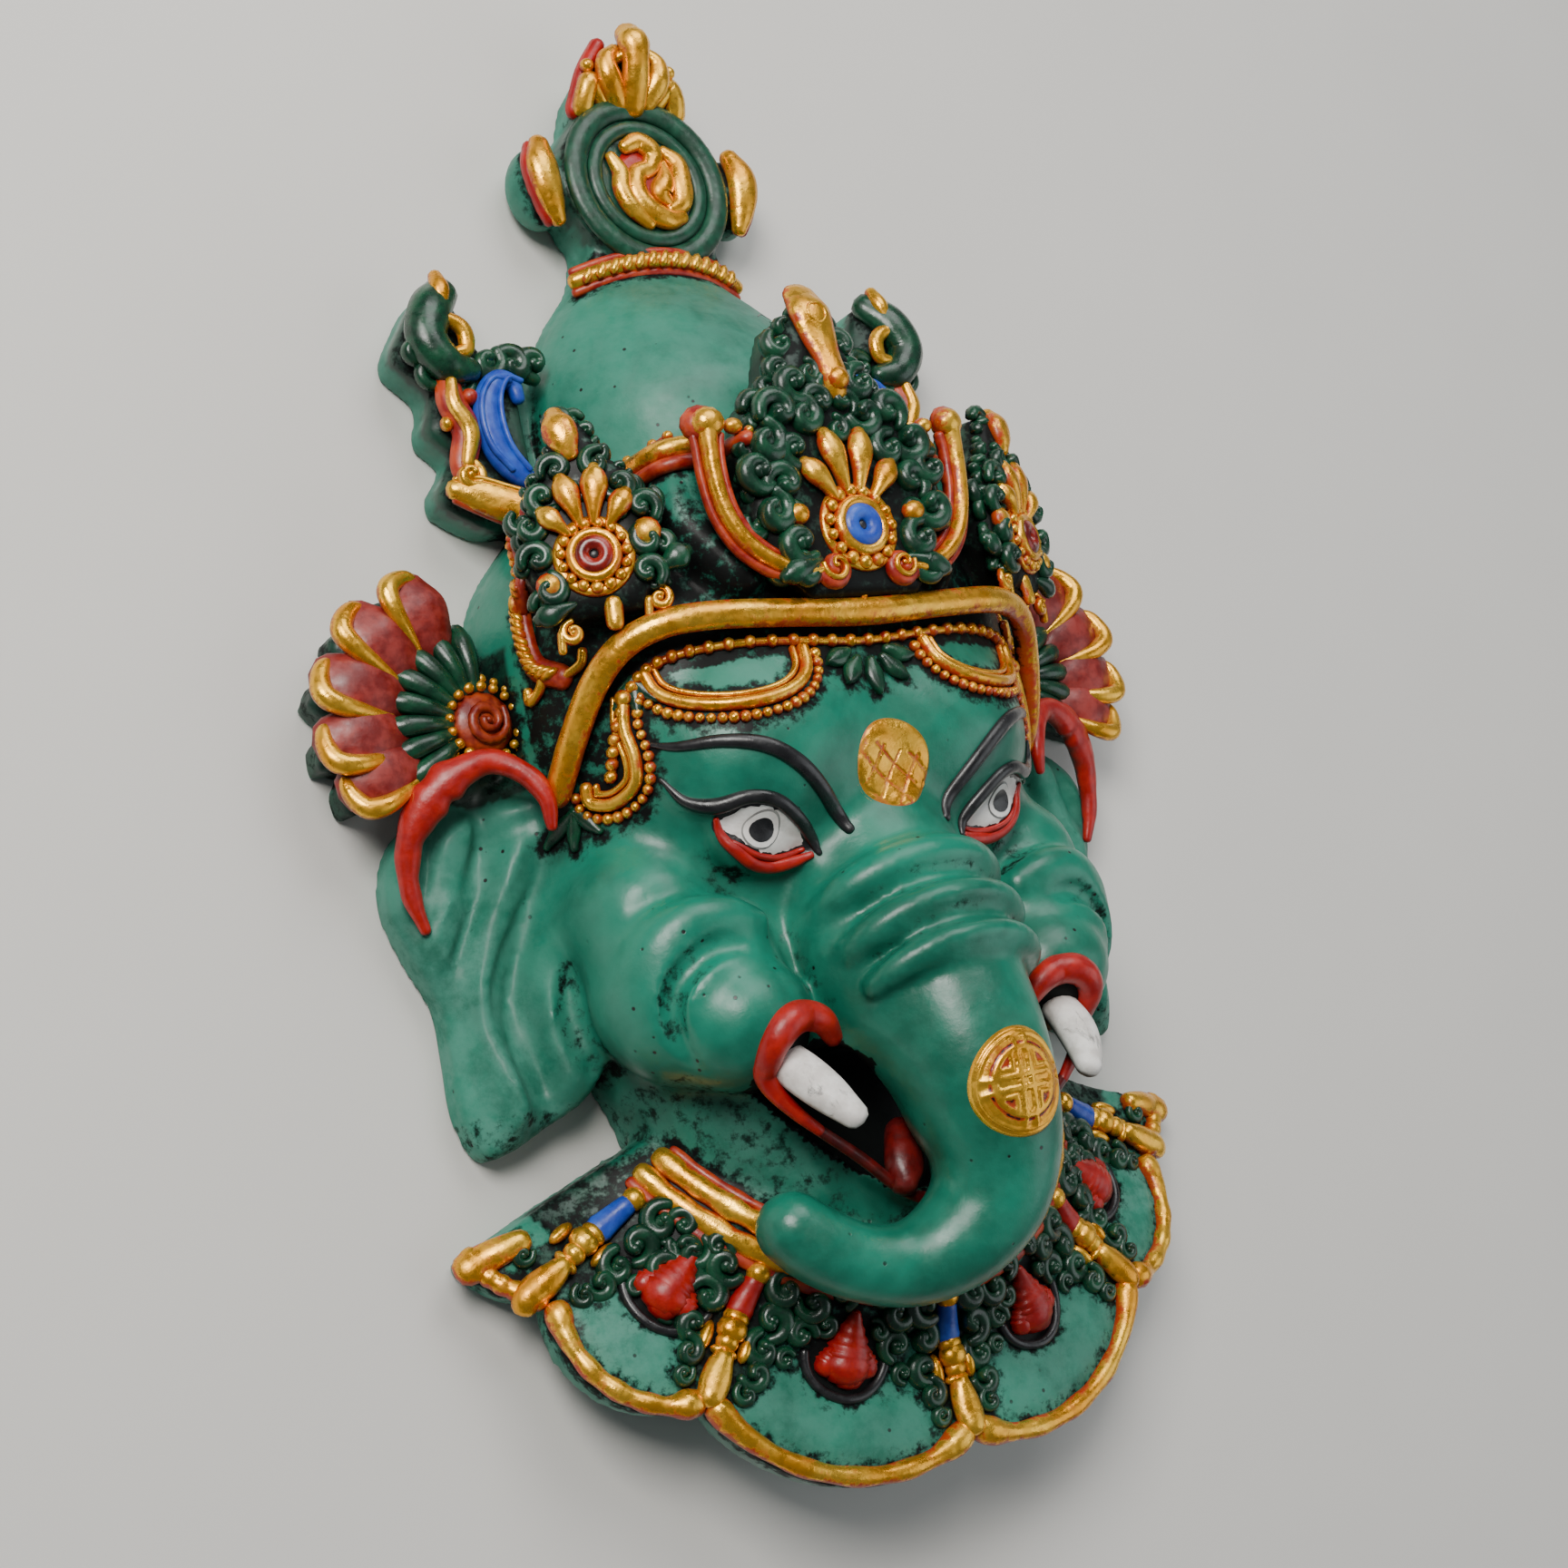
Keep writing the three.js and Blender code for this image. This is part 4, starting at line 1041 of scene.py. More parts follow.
def tusk_paint():
    """White paint brushed thinly over dark resin, with painted shade on its lower side."""
    p = Paint("tusk_paint")
    base = p.mix(p.ramp(p.noise(3, 4), 0.36, 0.66), colour(240, 237, 232), colour(212, 207, 201))
    thin = p.ramp(p.noise(2.6, 5, 0.75, 0.8, (1, 0.5, 0.5)), 0.56, 0.7, 0.0, 0.7)
    # Painted shade on each tusk's lower side.
    low = p.ramp(p.attribute("rise"), 0.5, 0.15)
    base = p.mix(p.combine("MAXIMUM", thin, low), base, colour(70, 72, 70))
    p.bump(p.noise(1.3, 4, 0.6), 0.5, 0.25)
    return p.finish(base, 0.5, 0.0, 0.05)


HEADBAND_HALF = [
    (46.8, 112.6, 19.6), (46.4, 115.5, 22.4), (45.6, 119.5, 25.5), (43.2, 126.4, 30.5), (39.8, 131, 35),
    (34.5, 133.2, 38.8), (27, 133.4, 41.8), (14, 132.6, 43.6),
]
HEADBAND_MIDDLE = (0, 131.8, 44.4)
BEAD_STRING_HALF = [(41, 113), (40.2, 119), (37.5, 125.4), (33, 128.6), (24, 129.2), (12, 128.4)]
BEAD_STRING_MIDDLE = (0, 127.6)


def over_the_brow(half, middle):
    """A row of points from the left foot over the middle to the right foot."""
    return mirrored(half, -1) + [middle] + half[::-1]


def headband(skin, gold, beads):
    points = curve_through(over_the_brow(HEADBAND_HALF, HEADBAND_MIDDLE), 120)
    normals = unit(points * (1, 0, 1.3))
    gold.sweep(points + 0.5 * normals, normals, 2.3, 2.1, 14)
    low, low_normals, _ = skin.laid(over_the_brow(BEAD_STRING_HALF, BEAD_STRING_MIDDLE), 0.3, 84)
    beads.sweep(low, low_normals, 0.7, 0.7, 8)
    for k, (p, n) in enumerate(zip(low, low_normals)):
        if k % 2 == 0:
            beads.ball(p + n * 0.3, n, (1.15, 1.05, 1.1), n[[2, 0, 1]], 8, 5)


def crescent_loop(skin, gold, beads, points, with_knob):
    """A hanging loop: a double gold bar with a fringe of beads round its outside."""
    path, normals, _ = skin.laid(points, 0.5, 46)
    gold.sweep(path, normals, 1.05, 1.2, 10)
    tangent = unit(np.gradient(path, axis=0))
    across = unit(np.cross(tangent, normals))
    middle = path.mean(0)
    outward = np.sign(((path - middle) * across).sum(1).mean())
    gold.sweep(path - across * outward * 1.7 - normals * 0.3, normals, 0.55, 0.8, 8)
    fringe = path + across * outward * 2.2 - normals * 0.25
    steps = np.concatenate([[0], np.cumsum(np.linalg.norm(np.diff(fringe, axis=0), axis=1))])
    for s in np.arange(0.6, steps[-1] - 0.4, 1.75):
        p = np.array([np.interp(s, steps, fringe[:, k]) for k in range(3)])
        n = normals[min(int(np.searchsorted(steps, s)), len(normals) - 1)]
        size = 0.95 + 0.1 * math.sin(s * 3)
        beads.ball(p, n, (size, size, 0.9), (0, 1, 0), 8, 5)
    if with_knob:
        beads.ball(path[0] + normals[0] * 0.4, normals[0], (1.4, 1.4, 1.2))


TEMPLE_LOOP = (
    (38.6, 124), (39.2, 119.6), (38.6, 114.6), (38.8, 110.8), (40.8, 109), (43, 110), (43.4, 112.4),
)
TEMPLE_LEAVES = ((-0.5, 4.4), (0.05, 5.4), (0.6, 4.6))
TEMPLE_LEAF_FEET = ((37.2, 126.6), (44.6, 109.4))
TEMPLE_LEAF_WIDTHS = ((0, 0.85), (0.5, 1.35), (1, 0.65))
BROW_LEAVES = (
    (0, 124, 0, 5.4), (-2.6, 124.4, -0.7, 5), (2.6, 124.4, 0.7, 5), (-4, 125.8, -1.2, 4.6),
    (4, 125.8, 1.2, 4.6),
)
BROW_LEAF_WIDTHS = ((0, 0.9), (0.4, 1.7), (0.8, 1.2), (1, 0.4))


def small_leaf(skin, green, foot, lean, length, widths, side=1, lift=0.4, count=14, height=1.0, sides=10):
    """A leaf that hangs from its foot; widths are shares of its length with half widths."""
    x, y = foot
    reach, drop = length * math.sin(lean), length * math.cos(lean)
    rows = [(side * (x + t * reach), y - t * drop, w) for t, w in widths]
    path, normals, rest = skin.laid(rows, lift, count)
    green.sweep(path, normals, rest[:, 0], height, sides)


def forehead(skin, gold, beads, green):
    for side in SIDES:
        turns = np.linspace(0.02, math.pi - 0.02, 11)
        arc = [(side * (23.8 - 11.8 * math.cos(a)), 127.2 - 8.4 * math.sin(a) ** 0.85) for a in turns]
        crescent_loop(skin, gold, beads, arc, False)
        crescent_loop(skin, gold, beads, mirrored(TEMPLE_LOOP, side), True)
        for lean, length in TEMPLE_LEAVES:
            for foot in TEMPLE_LEAF_FEET:
                small_leaf(skin, green, foot, lean, length, TEMPLE_LEAF_WIDTHS, side, 0.3, 12, 0.8, 8)
    for x, y, lean, length in BROW_LEAVES:
        small_leaf(skin, green, (x, y), lean, length, BROW_LEAF_WIDTHS)


def rosette(place, u, v, w, size, gold, stone, heart):
    """A ring of beads round an orange ring with a stone in it."""
    gold.ring(place, u, v, w - 0.3, size * 0.98, 0.9, 0.7)
    gold.bead_ring(place, u, v, w + 0.3, size * 0.9, 15, size * 0.17)
    gold.ring(place, u, v, w + 0.5, size * 0.62, size * 0.16, 1.2)
    stone.ring(place, u, v, w + 0.7, size * 0.34, size * 0.24, 1.3)
    stone.bead(place, u, v, w + 0.1, (size * 0.42, size * 0.42, 0.8))
    heart.bead(place, u, v, w + 0.85, (size * 0.13, size * 0.13, 0.3))


def edge_spots(outline, count, inset):
    """Evenly counted points a little inside a leaf's outline, from one foot over its tip to the other."""
    rows = np.array(outline)
    middle = np.array([0, rows[:, 1].mean()])
    along = np.linspace(1, len(rows) - 2, count)
    spots = np.stack([np.interp(along, np.arange(len(rows)), rows[:, k]) for k in range(2)], 1)
    return spots - unit(spots - middle) * inset


def crown_leaf(place, side, base, gold, green, stone, heart):
    """Curled foliage over a leaf, with a tongue at its tip, petals and a rosette."""
    rosette_v, size, curls, tip, petals, edge = base
    w = LEAF_THICKNESS
    for k, (u, v, r) in enumerate(curls):
        hand = 1 if u > 0 else -1
        start = 1.2 + 2.1 * k
        green.spiral(place, side * u, v, w - 0.2, r * 1.12, start, side * hand, 0.9, r * 0.52, r * 0.62)
    for k, (u, v) in enumerate(edge):
        r = size * (0.3 + 0.06 * math.sin(k * 2.3))
        green.spiral(place, u, v, w - 2.6, r, 2.4 * k, (-1) ** k, 0.8, r * 0.6, r * 0.8)
    rosette(place, 0, rosette_v, w + 0.4, size, gold, stone, heart)
    for lean, length, width in petals:
        foot = math.sin(lean) * size * 0.9, rosette_v + math.cos(lean) * size * 0.95
        gold.petal(place, *foot, w + 0.5, lean, length, width, 1.5)
    gold.stroke(place, tip, 14)


CENTRE_CURLS = [
    (15.6, 148, 3), (17, 154.5, 2.8), (12.6, 152.5, 2.8), (14.2, 159.4, 3.1), (9.4, 158, 2.7),
    (10.8, 164.4, 3), (6, 163.8, 2.8), (6.6, 169.2, 2.7), (2.4, 166.2, 2.4), (3.2, 171, 2.0),
    (12, 142.6, 2.9), (11.5, 147.2, 1.9), (12.4, 138.2, 2.3),
]
SIDE_CURLS = [
    (8.6, 146.2, 2.3), (8.8, 151.4, 2.2), (5.9, 155.6, 2.3), (3.2, 159.6, 2.1), (7.6, 141.2, 2.2),
    (1.2, 156, 1.7), (5.4, 151.6, 1.5),
]
MIDDLE_CURLS = [(0, 169, 2.2), (0, 161.4, 2.0)]
CENTRE_TIP = [
    (0.2, 184.2, 6.6, 3.4, 1.6), (0.2, 181.4, 7.8, 3.9, 2.0), (0.6, 177, 8.2, 3.4, 1.6),
    (1, 173.4, 8.6, 2.6, 1.5), (1.2, 170.4, 8.8, 2.6, 1.9), (1.2, 168, 8.6, 2.2, 1.5),
]
CENTRE_PETALS = ((-0.66, 7.6, 2.1), (-0.2, 10, 2.3), (0.24, 10.2, 2.3), (0.7, 7.6, 2.1))
SIDE_TIP = [
    (1.6, 168.4, 6.8, 1.6, 1.3), (1.4, 166.4, 7.8, 2.7, 1.9), (1.0, 164, 8.3, 2.5, 1.6),
    (0.6, 162, 8.2, 1.6, 1.2),
]
SIDE_PETALS = ((-0.7, 5.4, 1.8), (-0.22, 8, 2.1), (0.2, 8.6, 2.2), (0.66, 6, 1.9))
RIBBON = (
    (43.4, 157.5, 25), (47.4, 152.5, 22), (49.4, 146, 20), (49.4, 139, 20), (48.2, 133, 21),
    (45.2, 130, 24.4),
)
RIBBON_HOOKS = (
    ((44.2, 130, 25.2), (42.4, 131, 27), (42, 132.8, 27.6)),
    ((47, 132.6, 22), (47, 129.4, 21), (48.6, 127.6, 18.6), (48.8, 129.4, 18.8)),
)


def ribbon(skin, side, gold, red):
    """The red ribbon at the crown's side, laid over with slanting gold scales and ending in two hooks."""
    path, normals, _ = skin.held(mirrored(RIBBON, side), 0.9, 70)
    red.sweep(path - normals * 0.4, normals, 2.1, 1.3, 8)
    tangent = unit(np.gradient(path, axis=0))
    for k in range(2, 66, 3):
        lean = tangent[k] * 0.75 + normals[k] * 0.1 + np.cross(normals[k], tangent[k]) * 0.65
        gold.ball(path[k] + normals[k] * 0.5, normals[k], (0.8, 2.0, 1.3), lean, 8, 5)
    for hook in RIBBON_HOOKS:
        path, normals, _ = skin.held(mirrored(hook, side), 0.8, 16)
        gold.sweep(path, normals, 0.8, 0.9, 8)


U_FRAME = (
    (23.8, 162.2, 1.6, 2.6, 2.0), (24, 159, 1.4, 2.1, 1.8), (24, 154.4, 1, 2.0, 1.7),
    (23.2, 149, 0.5, 2.0, 1.7), (21.2, 144.4, 0.1, 2.0, 1.7), (18, 141, -0.2, 1.9, 1.6),
    (14.2, 138.8, -0.3, 1.7, 1.4), (11, 137.8, 0, 1.3, 1.2), (8.8, 138, 0, 0.9, 0.9),
)


def u_frame(side, gold, red):
    """Half of the U beside the middle leaf: a gold bar between red edges, with a knob and a curl."""
    rows = np.array([(side * x, y, tiara_depth(x) + lift + 0.6, a, b) for x, y, lift, a, b in U_FRAME])
    fine = curve_through(rows, 56)
    outward = [(p[0] / TIARA_HALF_WIDTH ** 2, 0, p[2] / TIARA_DEPTH ** 2) for p in fine[:, :3]]
    normals = unit(np.array(outward))
    gold.sweep(fine[:, :3], normals, fine[:, 3] * 0.72, fine[:, 4] * 1.15, 12)
    tangent = unit(np.gradient(fine[:, :3], axis=0))
    across = unit(np.cross(tangent, normals))
    for way in SIDES:
        edge = fine[:, :3] + across * (way * fine[:, 3] * 0.95)[:, None] - normals * 0.5
        red.sweep(edge[3:], normals[3:], 0.7, 1.1, 8)
    top = fine[0, :3]
    gold.ball(top + np.array([0, 0.6, 0.4]), normals[0], (2.9, 2.6, 2.2))
    red.ball(top + np.array([side * 0.5, 0.8, -0.7]), normals[0], (3.4, 3.1, 2.1))
    gold.ball(np.array([side * 18.8, 162.4, tiara_depth(17.4) + 0.6]), (0, 0, 1), (1.7, 1.35, 1.3))
    gold.ball(np.array([side * 16.2, 161.6, tiara_depth(14.8) + 0.4]), (0, 0, 1), (0.8, 0.8, 0.9))
    curl = Place(side * 6.6, tiara_depth(6.6) - 1.4)
    red.spiral(curl, 0, 138.2, 1.5, 2.9, math.pi / 2 - side * 1.4, -side, 1.2, 1.0, 1.3)
    gold.spiral(curl, 0, 138.4, 2.5, 2.4, math.pi / 2 - side * 1.4, -side, 1.1, 0.5, 0.8)


def crown(skin, gold, red, green, blue, ruby, black):
    centre = leaf_place(0)
    curls = [(s * u, v, r) for u, v, r in CENTRE_CURLS for s in SIDES] + MIDDLE_CURLS
    edge = edge_spots(both_ways(CENTRE_LEAF), 24, 0.6)
    crown_leaf(centre, 1, (144.8, 6.6, curls, CENTRE_TIP, CENTRE_PETALS, edge), gold, green, blue, black)
    gold.bead(centre, 1.4, 169.4, 9.6, (2.1, 2.1, 1.7))
    gold.ring(centre, 0.3, 180.8, 9.4, 1.7, 0.28, 0.5, 6)
    for s in SIDES:
        gold.bead(centre, s * 11.4, 147.2, 8.4, (2.1, 1.8, 1.6))
        green.petal(centre, s * 9, 139.6, 7.6, s * 1.9, 7.5, 2.0, 1.6)
    gold.bead(Place(0, 44), 0, 138.0, 1.6, (1.8, 2.2, 1.8))
    gold.bead(Place(0, 44), 0, 135.2, 1.2, (1.1, 1.6, 1.2))
    for side in SIDES:
        place = leaf_place(side * SIDE_LEAF_X)
        curls = [(s * u, v, r) for u, v, r in SIDE_CURLS for s in SIDES]
        edge = edge_spots(both_ways(SIDE_LEAF), 18, 0.4)
        base = (145.1, 5.6, curls, mirrored(SIDE_TIP, side), SIDE_PETALS, edge)
        crown_leaf(place, side, base, gold, green, ruby, black)
        gold.bead(place, -side * 8.6, 147.4, 8.2, (2.3, 2.3, 1.5))
        gold.bead(place, side * 7.6, 141.8, 8, (2.1, 2.1, 1.5))
        green.petal(place, side * 4.5, 138.4, 7, side * 1.8, 6, 1.9, 1.4)
        green.petal(place, -side * 9.6, 141.6, 6.4, -side * 1.1, 5, 2.2, 1.4)
        for u, v, hand in ((-8.6, 137.2, 1), (5.4, 134.4, -1)):
            gold.spiral(place, side * u, v, 6.2, 1.8, 1.6, side * hand, 1.1, 0.7, 0.9)
            stem = [(u + 1.7, v, 6.3, 0.8, 0.8), (u + 2.1, v - 2.4, 6, 0.7, 0.8)]
            gold.stroke(place, mirrored(stem, side), 8)
        gold.stroke(place, [(-side * 1.4, 137.6, 7, 1.5, 1.2), (-side * 1.1, 134.6, 7.2, 1.4, 1.1)], 8)
        u_frame(side, gold, red)
        ribbon(skin, side, gold, red)


FAN_RIDGE = (
    (-10, 0.9, 10.4), (-6, 0.985, 11.4), (0, 1.0, 12.2), (5.5, 0.97, 13), (8.5, 0.86, 13.4),
    (9.5, 0.72, 12.8), (9.5, 0.56, 11.4),
)
FAN_RIDGE_WIDTHS = np.array([0.8, 1.3, 1.7, 1.9, 1.7, 1.3, 0.8])
FAN_BLADE = ((-1, 0.48, 9.8, 2.9), (-2.5, 0.62, 11.6, 4.4), (-3, 0.78, 12.2, 5.4), (-3, 0.9, 11.2, 4.6))
FAN_PLEAT = ((6, 12, 1.2), (9.5, 12.6, 1.5), (13, 12, 1.8), (15.4, 10.6, 1.5))
SCARF = [
    (49.6, 107.6, 20.4, 0.9), (49.8, 111.8, 20.8, 1.5), (51.8, 116, 19.8, 1.8), (56.4, 119.2, 17.6, 2.0),
    (62, 117.8, 15.4, 2.9), (66, 114.6, 13.4, 3.2), (68.8, 110, 11, 2.3), (69.6, 105, 9.4, 1.8),
    (69.3, 100.6, 8.6, 1.5), (67.9, 96, 8, 0.9),
]


def on_fan(side, bearing, reach, z):
    """A point of a fan, at a bearing and a reach from its hub."""
    x, y = spoke(bearing, reach)
    return side * x, y, z


def fan_petals(side, gold, pink):
    """The five petals: a gold ridge that hooks round a dusty red blade."""
    for bearing, reach in FAN_PETALS:
        size = reach / 28
        rows = [on_fan(side, bearing + turn, reach * share, z) for turn, share, z in FAN_RIDGE]
        fine = curve_through(np.column_stack([rows, FAN_RIDGE_WIDTHS * size]), 36)
        gold.sweep(fine[:, :3], (0, 0, 1), fine[:, 3], fine[:, 3] * 0.95, 12)
        rows = [on_fan(side, bearing + turn, reach * part, z) + (w * size,) for turn, part, z, w in FAN_BLADE]
        fine = curve_through(rows, 22)
        pink.sweep(fine[:, :3], (0, 0, 1), fine[:, 3], 1.9, 12)


def fan_pleats(side, green):
    for k in range(8):
        bearing = 2 + k * 17
        fine = curve_through([on_fan(side, bearing, r, z) + (w,) for r, z, w in FAN_PLEAT], 18)
        green.sweep(fine[:, :3], (0, 0, 1), fine[:, 3], 1.5, 10)
        knob = np.array(on_fan(side, bearing + 8.5, 15.4, 10.6))
        green.ball(knob, (0, 0, 1), (1.2, 1.2, 1.2), (0, 1, 0), 8, 5)


def fan_hub(side, gold, ember):
    place = Place(side * FAN_HUB[0], 11.6)
    ember.bead(place, 0, FAN_HUB[1], 0.6, (5.4, 5.4, 2))
    ember.spiral(place, 0, FAN_HUB[1], 2.6, 3.6, 0.5, side, 1.6, 0.8, 0.8)
    gold.bead_ring(place, 0, FAN_HUB[1], 1.6, 5.9, 17, 0.85)
    gold.bead_ring(place, 0, FAN_HUB[1], 0.9, 7.3, 21, 0.75, 0.2)


def ear_scarf(side, scarlet):
    """The red scarf over the ear, bulging and rippled about its middle."""
    count = 90
    fine = curve_through(mirrored(SCARF, side), count)
    normals = np.tile(np.array([side * 0.25, 0.1, 1.0]) / 1.036, (count, 1))
    k = np.arange(count)
    middle = np.exp(-((k - 46) / 10) ** 2)
    ripple = 1 + 0.05 * np.sin(k * 0.5) + 0.09 * middle * np.sin(k * 0.8)
    scarlet.sweep(fine[:, :3], normals, fine[:, 3] * ripple, np.minimum(fine[:, 3] * 0.9, 2.1), 14)


def fans(gold, pink, green, ember, scarlet):
    for side in SIDES:
        fan_petals(side, gold, pink)
        fan_pleats(side, green)
        fan_hub(side, gold, ember)
        ear_scarf(side, scarlet)


SCROLL_HEAD = [
    (44, 200.6, -0.4, 3, 2.2), (47.4, 196.8, 1, 3.8, 3), (49.2, 191.6, 1.4, 3.6, 3.2),
    (46.4, 187.2, 1.4, 3.2, 3), (42.4, 186.6, 0.8, 2.2, 2.2),
]
SCROLL_TIP = [(45, 203, 0.6, 1.3, 1.3), (45.3, 200.4, 1.8, 1.7, 1.5), (45.8, 197.6, 2, 1.2, 1.2)]
SCROLL_HOOK = [
    (48.6, 194.4, 2.6, 0.8, 0.8), (45.2, 195, 2.2, 1.2, 1), (42.6, 193.2, 2, 1.5, 1.2),
    (42.6, 190, 1.8, 1.4, 1.2), (44.8, 189.2, 1.9, 0.9, 0.9),
]
SCROLL_CURLS = (
    (38.4, 188.2, 3.1), (33.8, 187.8, 3), (29.8, 188.2, 2.7), (51.4, 190.4, 2.4), (44, 184.6, 2.2),
    (49, 186.4, 2.2),
)
STEM = [
    (46.4, 184.6, 0.2, 2.2, 1.8), (46.8, 180.8, 0.8, 2.6, 2), (45, 175.8, 0.6, 2.6, 2),
    (46.6, 170.4, 0.4, 2.4, 1.8), (46, 166, 0, 1.8, 1.5),
]
STEM_CREST = [
    (46.8, 184, 2.2, 1, 1), (47.2, 180, 2.6, 1.4, 1.1), (45.2, 175.4, 2.6, 1.6, 1.1),
    (46.8, 170, 2.2, 1.1, 1.1),
]
CRESCENT = [
    (34.6, 181.6, 1.2, 1.2, 1.2), (35.2, 184.2, 1.2, 1.5, 1.4), (37.8, 184.6, 1.2, 1.9, 1.7),
    (40.2, 181.6, 1.2, 2.3, 1.9), (41, 177, 1.2, 2.5, 2), (40.2, 172.4, 1.2, 2.5, 2),
    (37.6, 168.6, 1.2, 2.2, 1.8), (34, 166.4, 1, 1.4, 1.2),
]
FOOT = [
    (49, 166, 0.6, 1.8, 1.6), (45.4, 164.8, 1.4, 3, 1.9), (41, 162.8, 2.2, 3.3, 2),
    (36.4, 161.4, 3.2, 2.9, 1.9), (31.4, 161.4, 4.2, 2.2, 1.6),
]
SIDE_FRONT = 9.6


def side_ornaments(gold, red, green, blue):
    place = Place(0, SIDE_FRONT)
    for side in SIDES:
        green.stroke(place, mirrored(SCROLL_HEAD, side), 12)
        gold.stroke(place, mirrored(SCROLL_TIP, side), 10)
        gold.stroke(place, mirrored(SCROLL_HOOK, side), 10)
        for u, v, r in SCROLL_CURLS:
            green.spiral(place, side * u, v, -0.3, r, u, side, 0.9, r * 0.54, r * 0.6)
        red.stroke(place, mirrored(STEM, side), 10)
        gold.stroke(place, mirrored(STEM_CREST, side), 8)
        red.bead(place, side * 43.4, 181.8, 1, (1.5, 1.5, 1.5))
        gold.bead(place, side * 48.4, 177.2, 0.8, (1.1, 1.3, 1.2))
        gold.spiral(place, side * 46.6, 168, 1.6, 2.5, 1, side, 1.1, 1.0, 1.2)
        blue.stroke(place, mirrored(CRESCENT, side), 14, 50)
        for way in SIDES:
            lip = [(u + way * 0.72 * w, v, z + h * 0.85, 0.55, 0.7) for u, v, z, w, h in CRESCENT[1:-1]]
            blue.stroke(place, mirrored(lip, side), 6, 40)
        gold.stroke(place, mirrored(FOOT, side), 12)
        under = [(u, v - w * 0.9, z - 0.4, 0.8, 0.9) for u, v, z, w, _ in FOOT]
        red.stroke(place, mirrored(under, side), 8)
        over = [(u, v + w * 0.85, z + 0.6, 0.6, 0.8) for u, v, z, w, _ in FOOT]
        gold.stroke(place, mirrored(over, side), 8)


SWIRL = (
    (
        (-3.4, 6.6, 1.1), (-0.6, 7.6, 1.5), (1.8, 5.6, 1.6), (0.6, 2.8, 1.4), (-2.2, 1.4, 1.5),
        (-3.2, -2, 1.7), (-1.6, -5.2, 1.8), (2, -7, 1.6), (5.2, -6.4, 1.1),
    ),
    ((-6.8, 4.4, 0.9), (-5.6, 1.4, 1.4), (-6, -1.8, 1.5), (-4.6, -5.2, 1.5), (-1.8, -7.8, 1.1)),
    ((4.4, 6.2, 0.9), (6.6, 3.8, 1.5), (6.4, 0.2, 1.8), (5.8, -3.4, 1.7), (3.6, -5, 1.1)),
    ((3.6, 3.6, 0.8), (3.2, 0.4, 1.6), (1.8, -2, 1.7), (3.2, -3.6, 1)),
)
DISC_LOBE = [
    (19.8, 6.6, -1.2, 2, 1.6), (20.6, 3, -0.3, 2.9, 2), (20.4, -0.6, -0.3, 2.9, 2),
    (19.6, -4.2, -1, 2.3, 1.8), (18.8, -6.8, -1.6, 1.5, 1.4),
]
INNER_PETAL = [
    (2.6, 237.4, 0.4, 2.2, 1.8), (4.8, 240.4, 2.4, 2.4, 2.2), (5.2, 243.6, 3, 1.9, 1.9),
    (3.4, 245.6, 3, 1.3, 1.5),
]
OUTER_PETAL = [
    (5.6, 238, -0.4, 1.7, 1.6), (8, 240.4, 1, 2, 1.8), (9.2, 238.6, 0.6, 1.9, 1.8),
    (9.6, 236.4, -0.6, 2, 1.6),
]
PETAL_GROUND = [(10.2, 236.6, -2.2, 2, 1.6), (8, 243, -0.8, 1.6, 1.6), (4.6, 248, 0.2, 1.5, 1.6)]
MIDDLE_PETAL = [
    (0, 236.6, 0.6, 2.5, 2), (0, 240, 3, 2.6, 2.2), (0, 243.4, 4.6, 2.5, 2.3), (0, 246.4, 5, 3.1, 2.6),
    (0, 248.2, 4.2, 2.7, 2.2),
]
PETAL_TIE = [(-4.4, 243.8, 1.8, 1.0, 1.0), (0, 245, 4.8, 1.1, 1.1), (4.4, 243.8, 1.8, 1.0, 1.0)]
NECK_HALF_WIDTH, NECK_Y, NECK_SAG = 16.6, 206.8, 2.2
NECK_TOP, NECK_FALL = 12.4, 5


def disc(gold, red, green):
    place = Place(0, DISC_TOP)
    green.ring(place, 0, DISC_CENTRE_Y, 0, DISC_RADIUS - 2.2, 2.2, 1.3, 12)
    green.ring(place, 0, DISC_CENTRE_Y, 0, DISC_RADIUS * 0.64, 1.5, 1.0, 12)
    for stroke in SWIRL:
        rows = [(u, DISC_CENTRE_Y + v, 0.3 + 0.3 * w, w * 1.25, w) for u, v, w in stroke]
        gold.stroke(place, rows, 10)
    red.bead(place, 0.6, DISC_CENTRE_Y, -0.2, (7.2, 8, 0.9))


def finial(gold, red):
    """The two lobes beside the disc and the petals over it."""
    place = Place(0, DISC_TOP)
    for side in SIDES:
        lobe = [(u, DISC_CENTRE_Y + v, z, w, h) for u, v, z, w, h in DISC_LOBE]
        gold.stroke(place, mirrored(lobe, side), 12)
        red.stroke(place, mirrored([(u + w * 0.8, v, z - 1, 1.1, 1.3) for u, v, z, w, _ in lobe], side), 10)
        gold.stroke(place, mirrored(INNER_PETAL, side), 10)
        gold.stroke(place, mirrored(OUTER_PETAL, side), 10)
        gold.bead(place, side * 8.4, 243.2, 1.6, (1.3, 1.3, 1.3))
        red.stroke(place, mirrored(PETAL_GROUND, side), 8)
    gold.stroke(place, MIDDLE_PETAL, 12)
    gold.stroke(place, PETAL_TIE, 8)


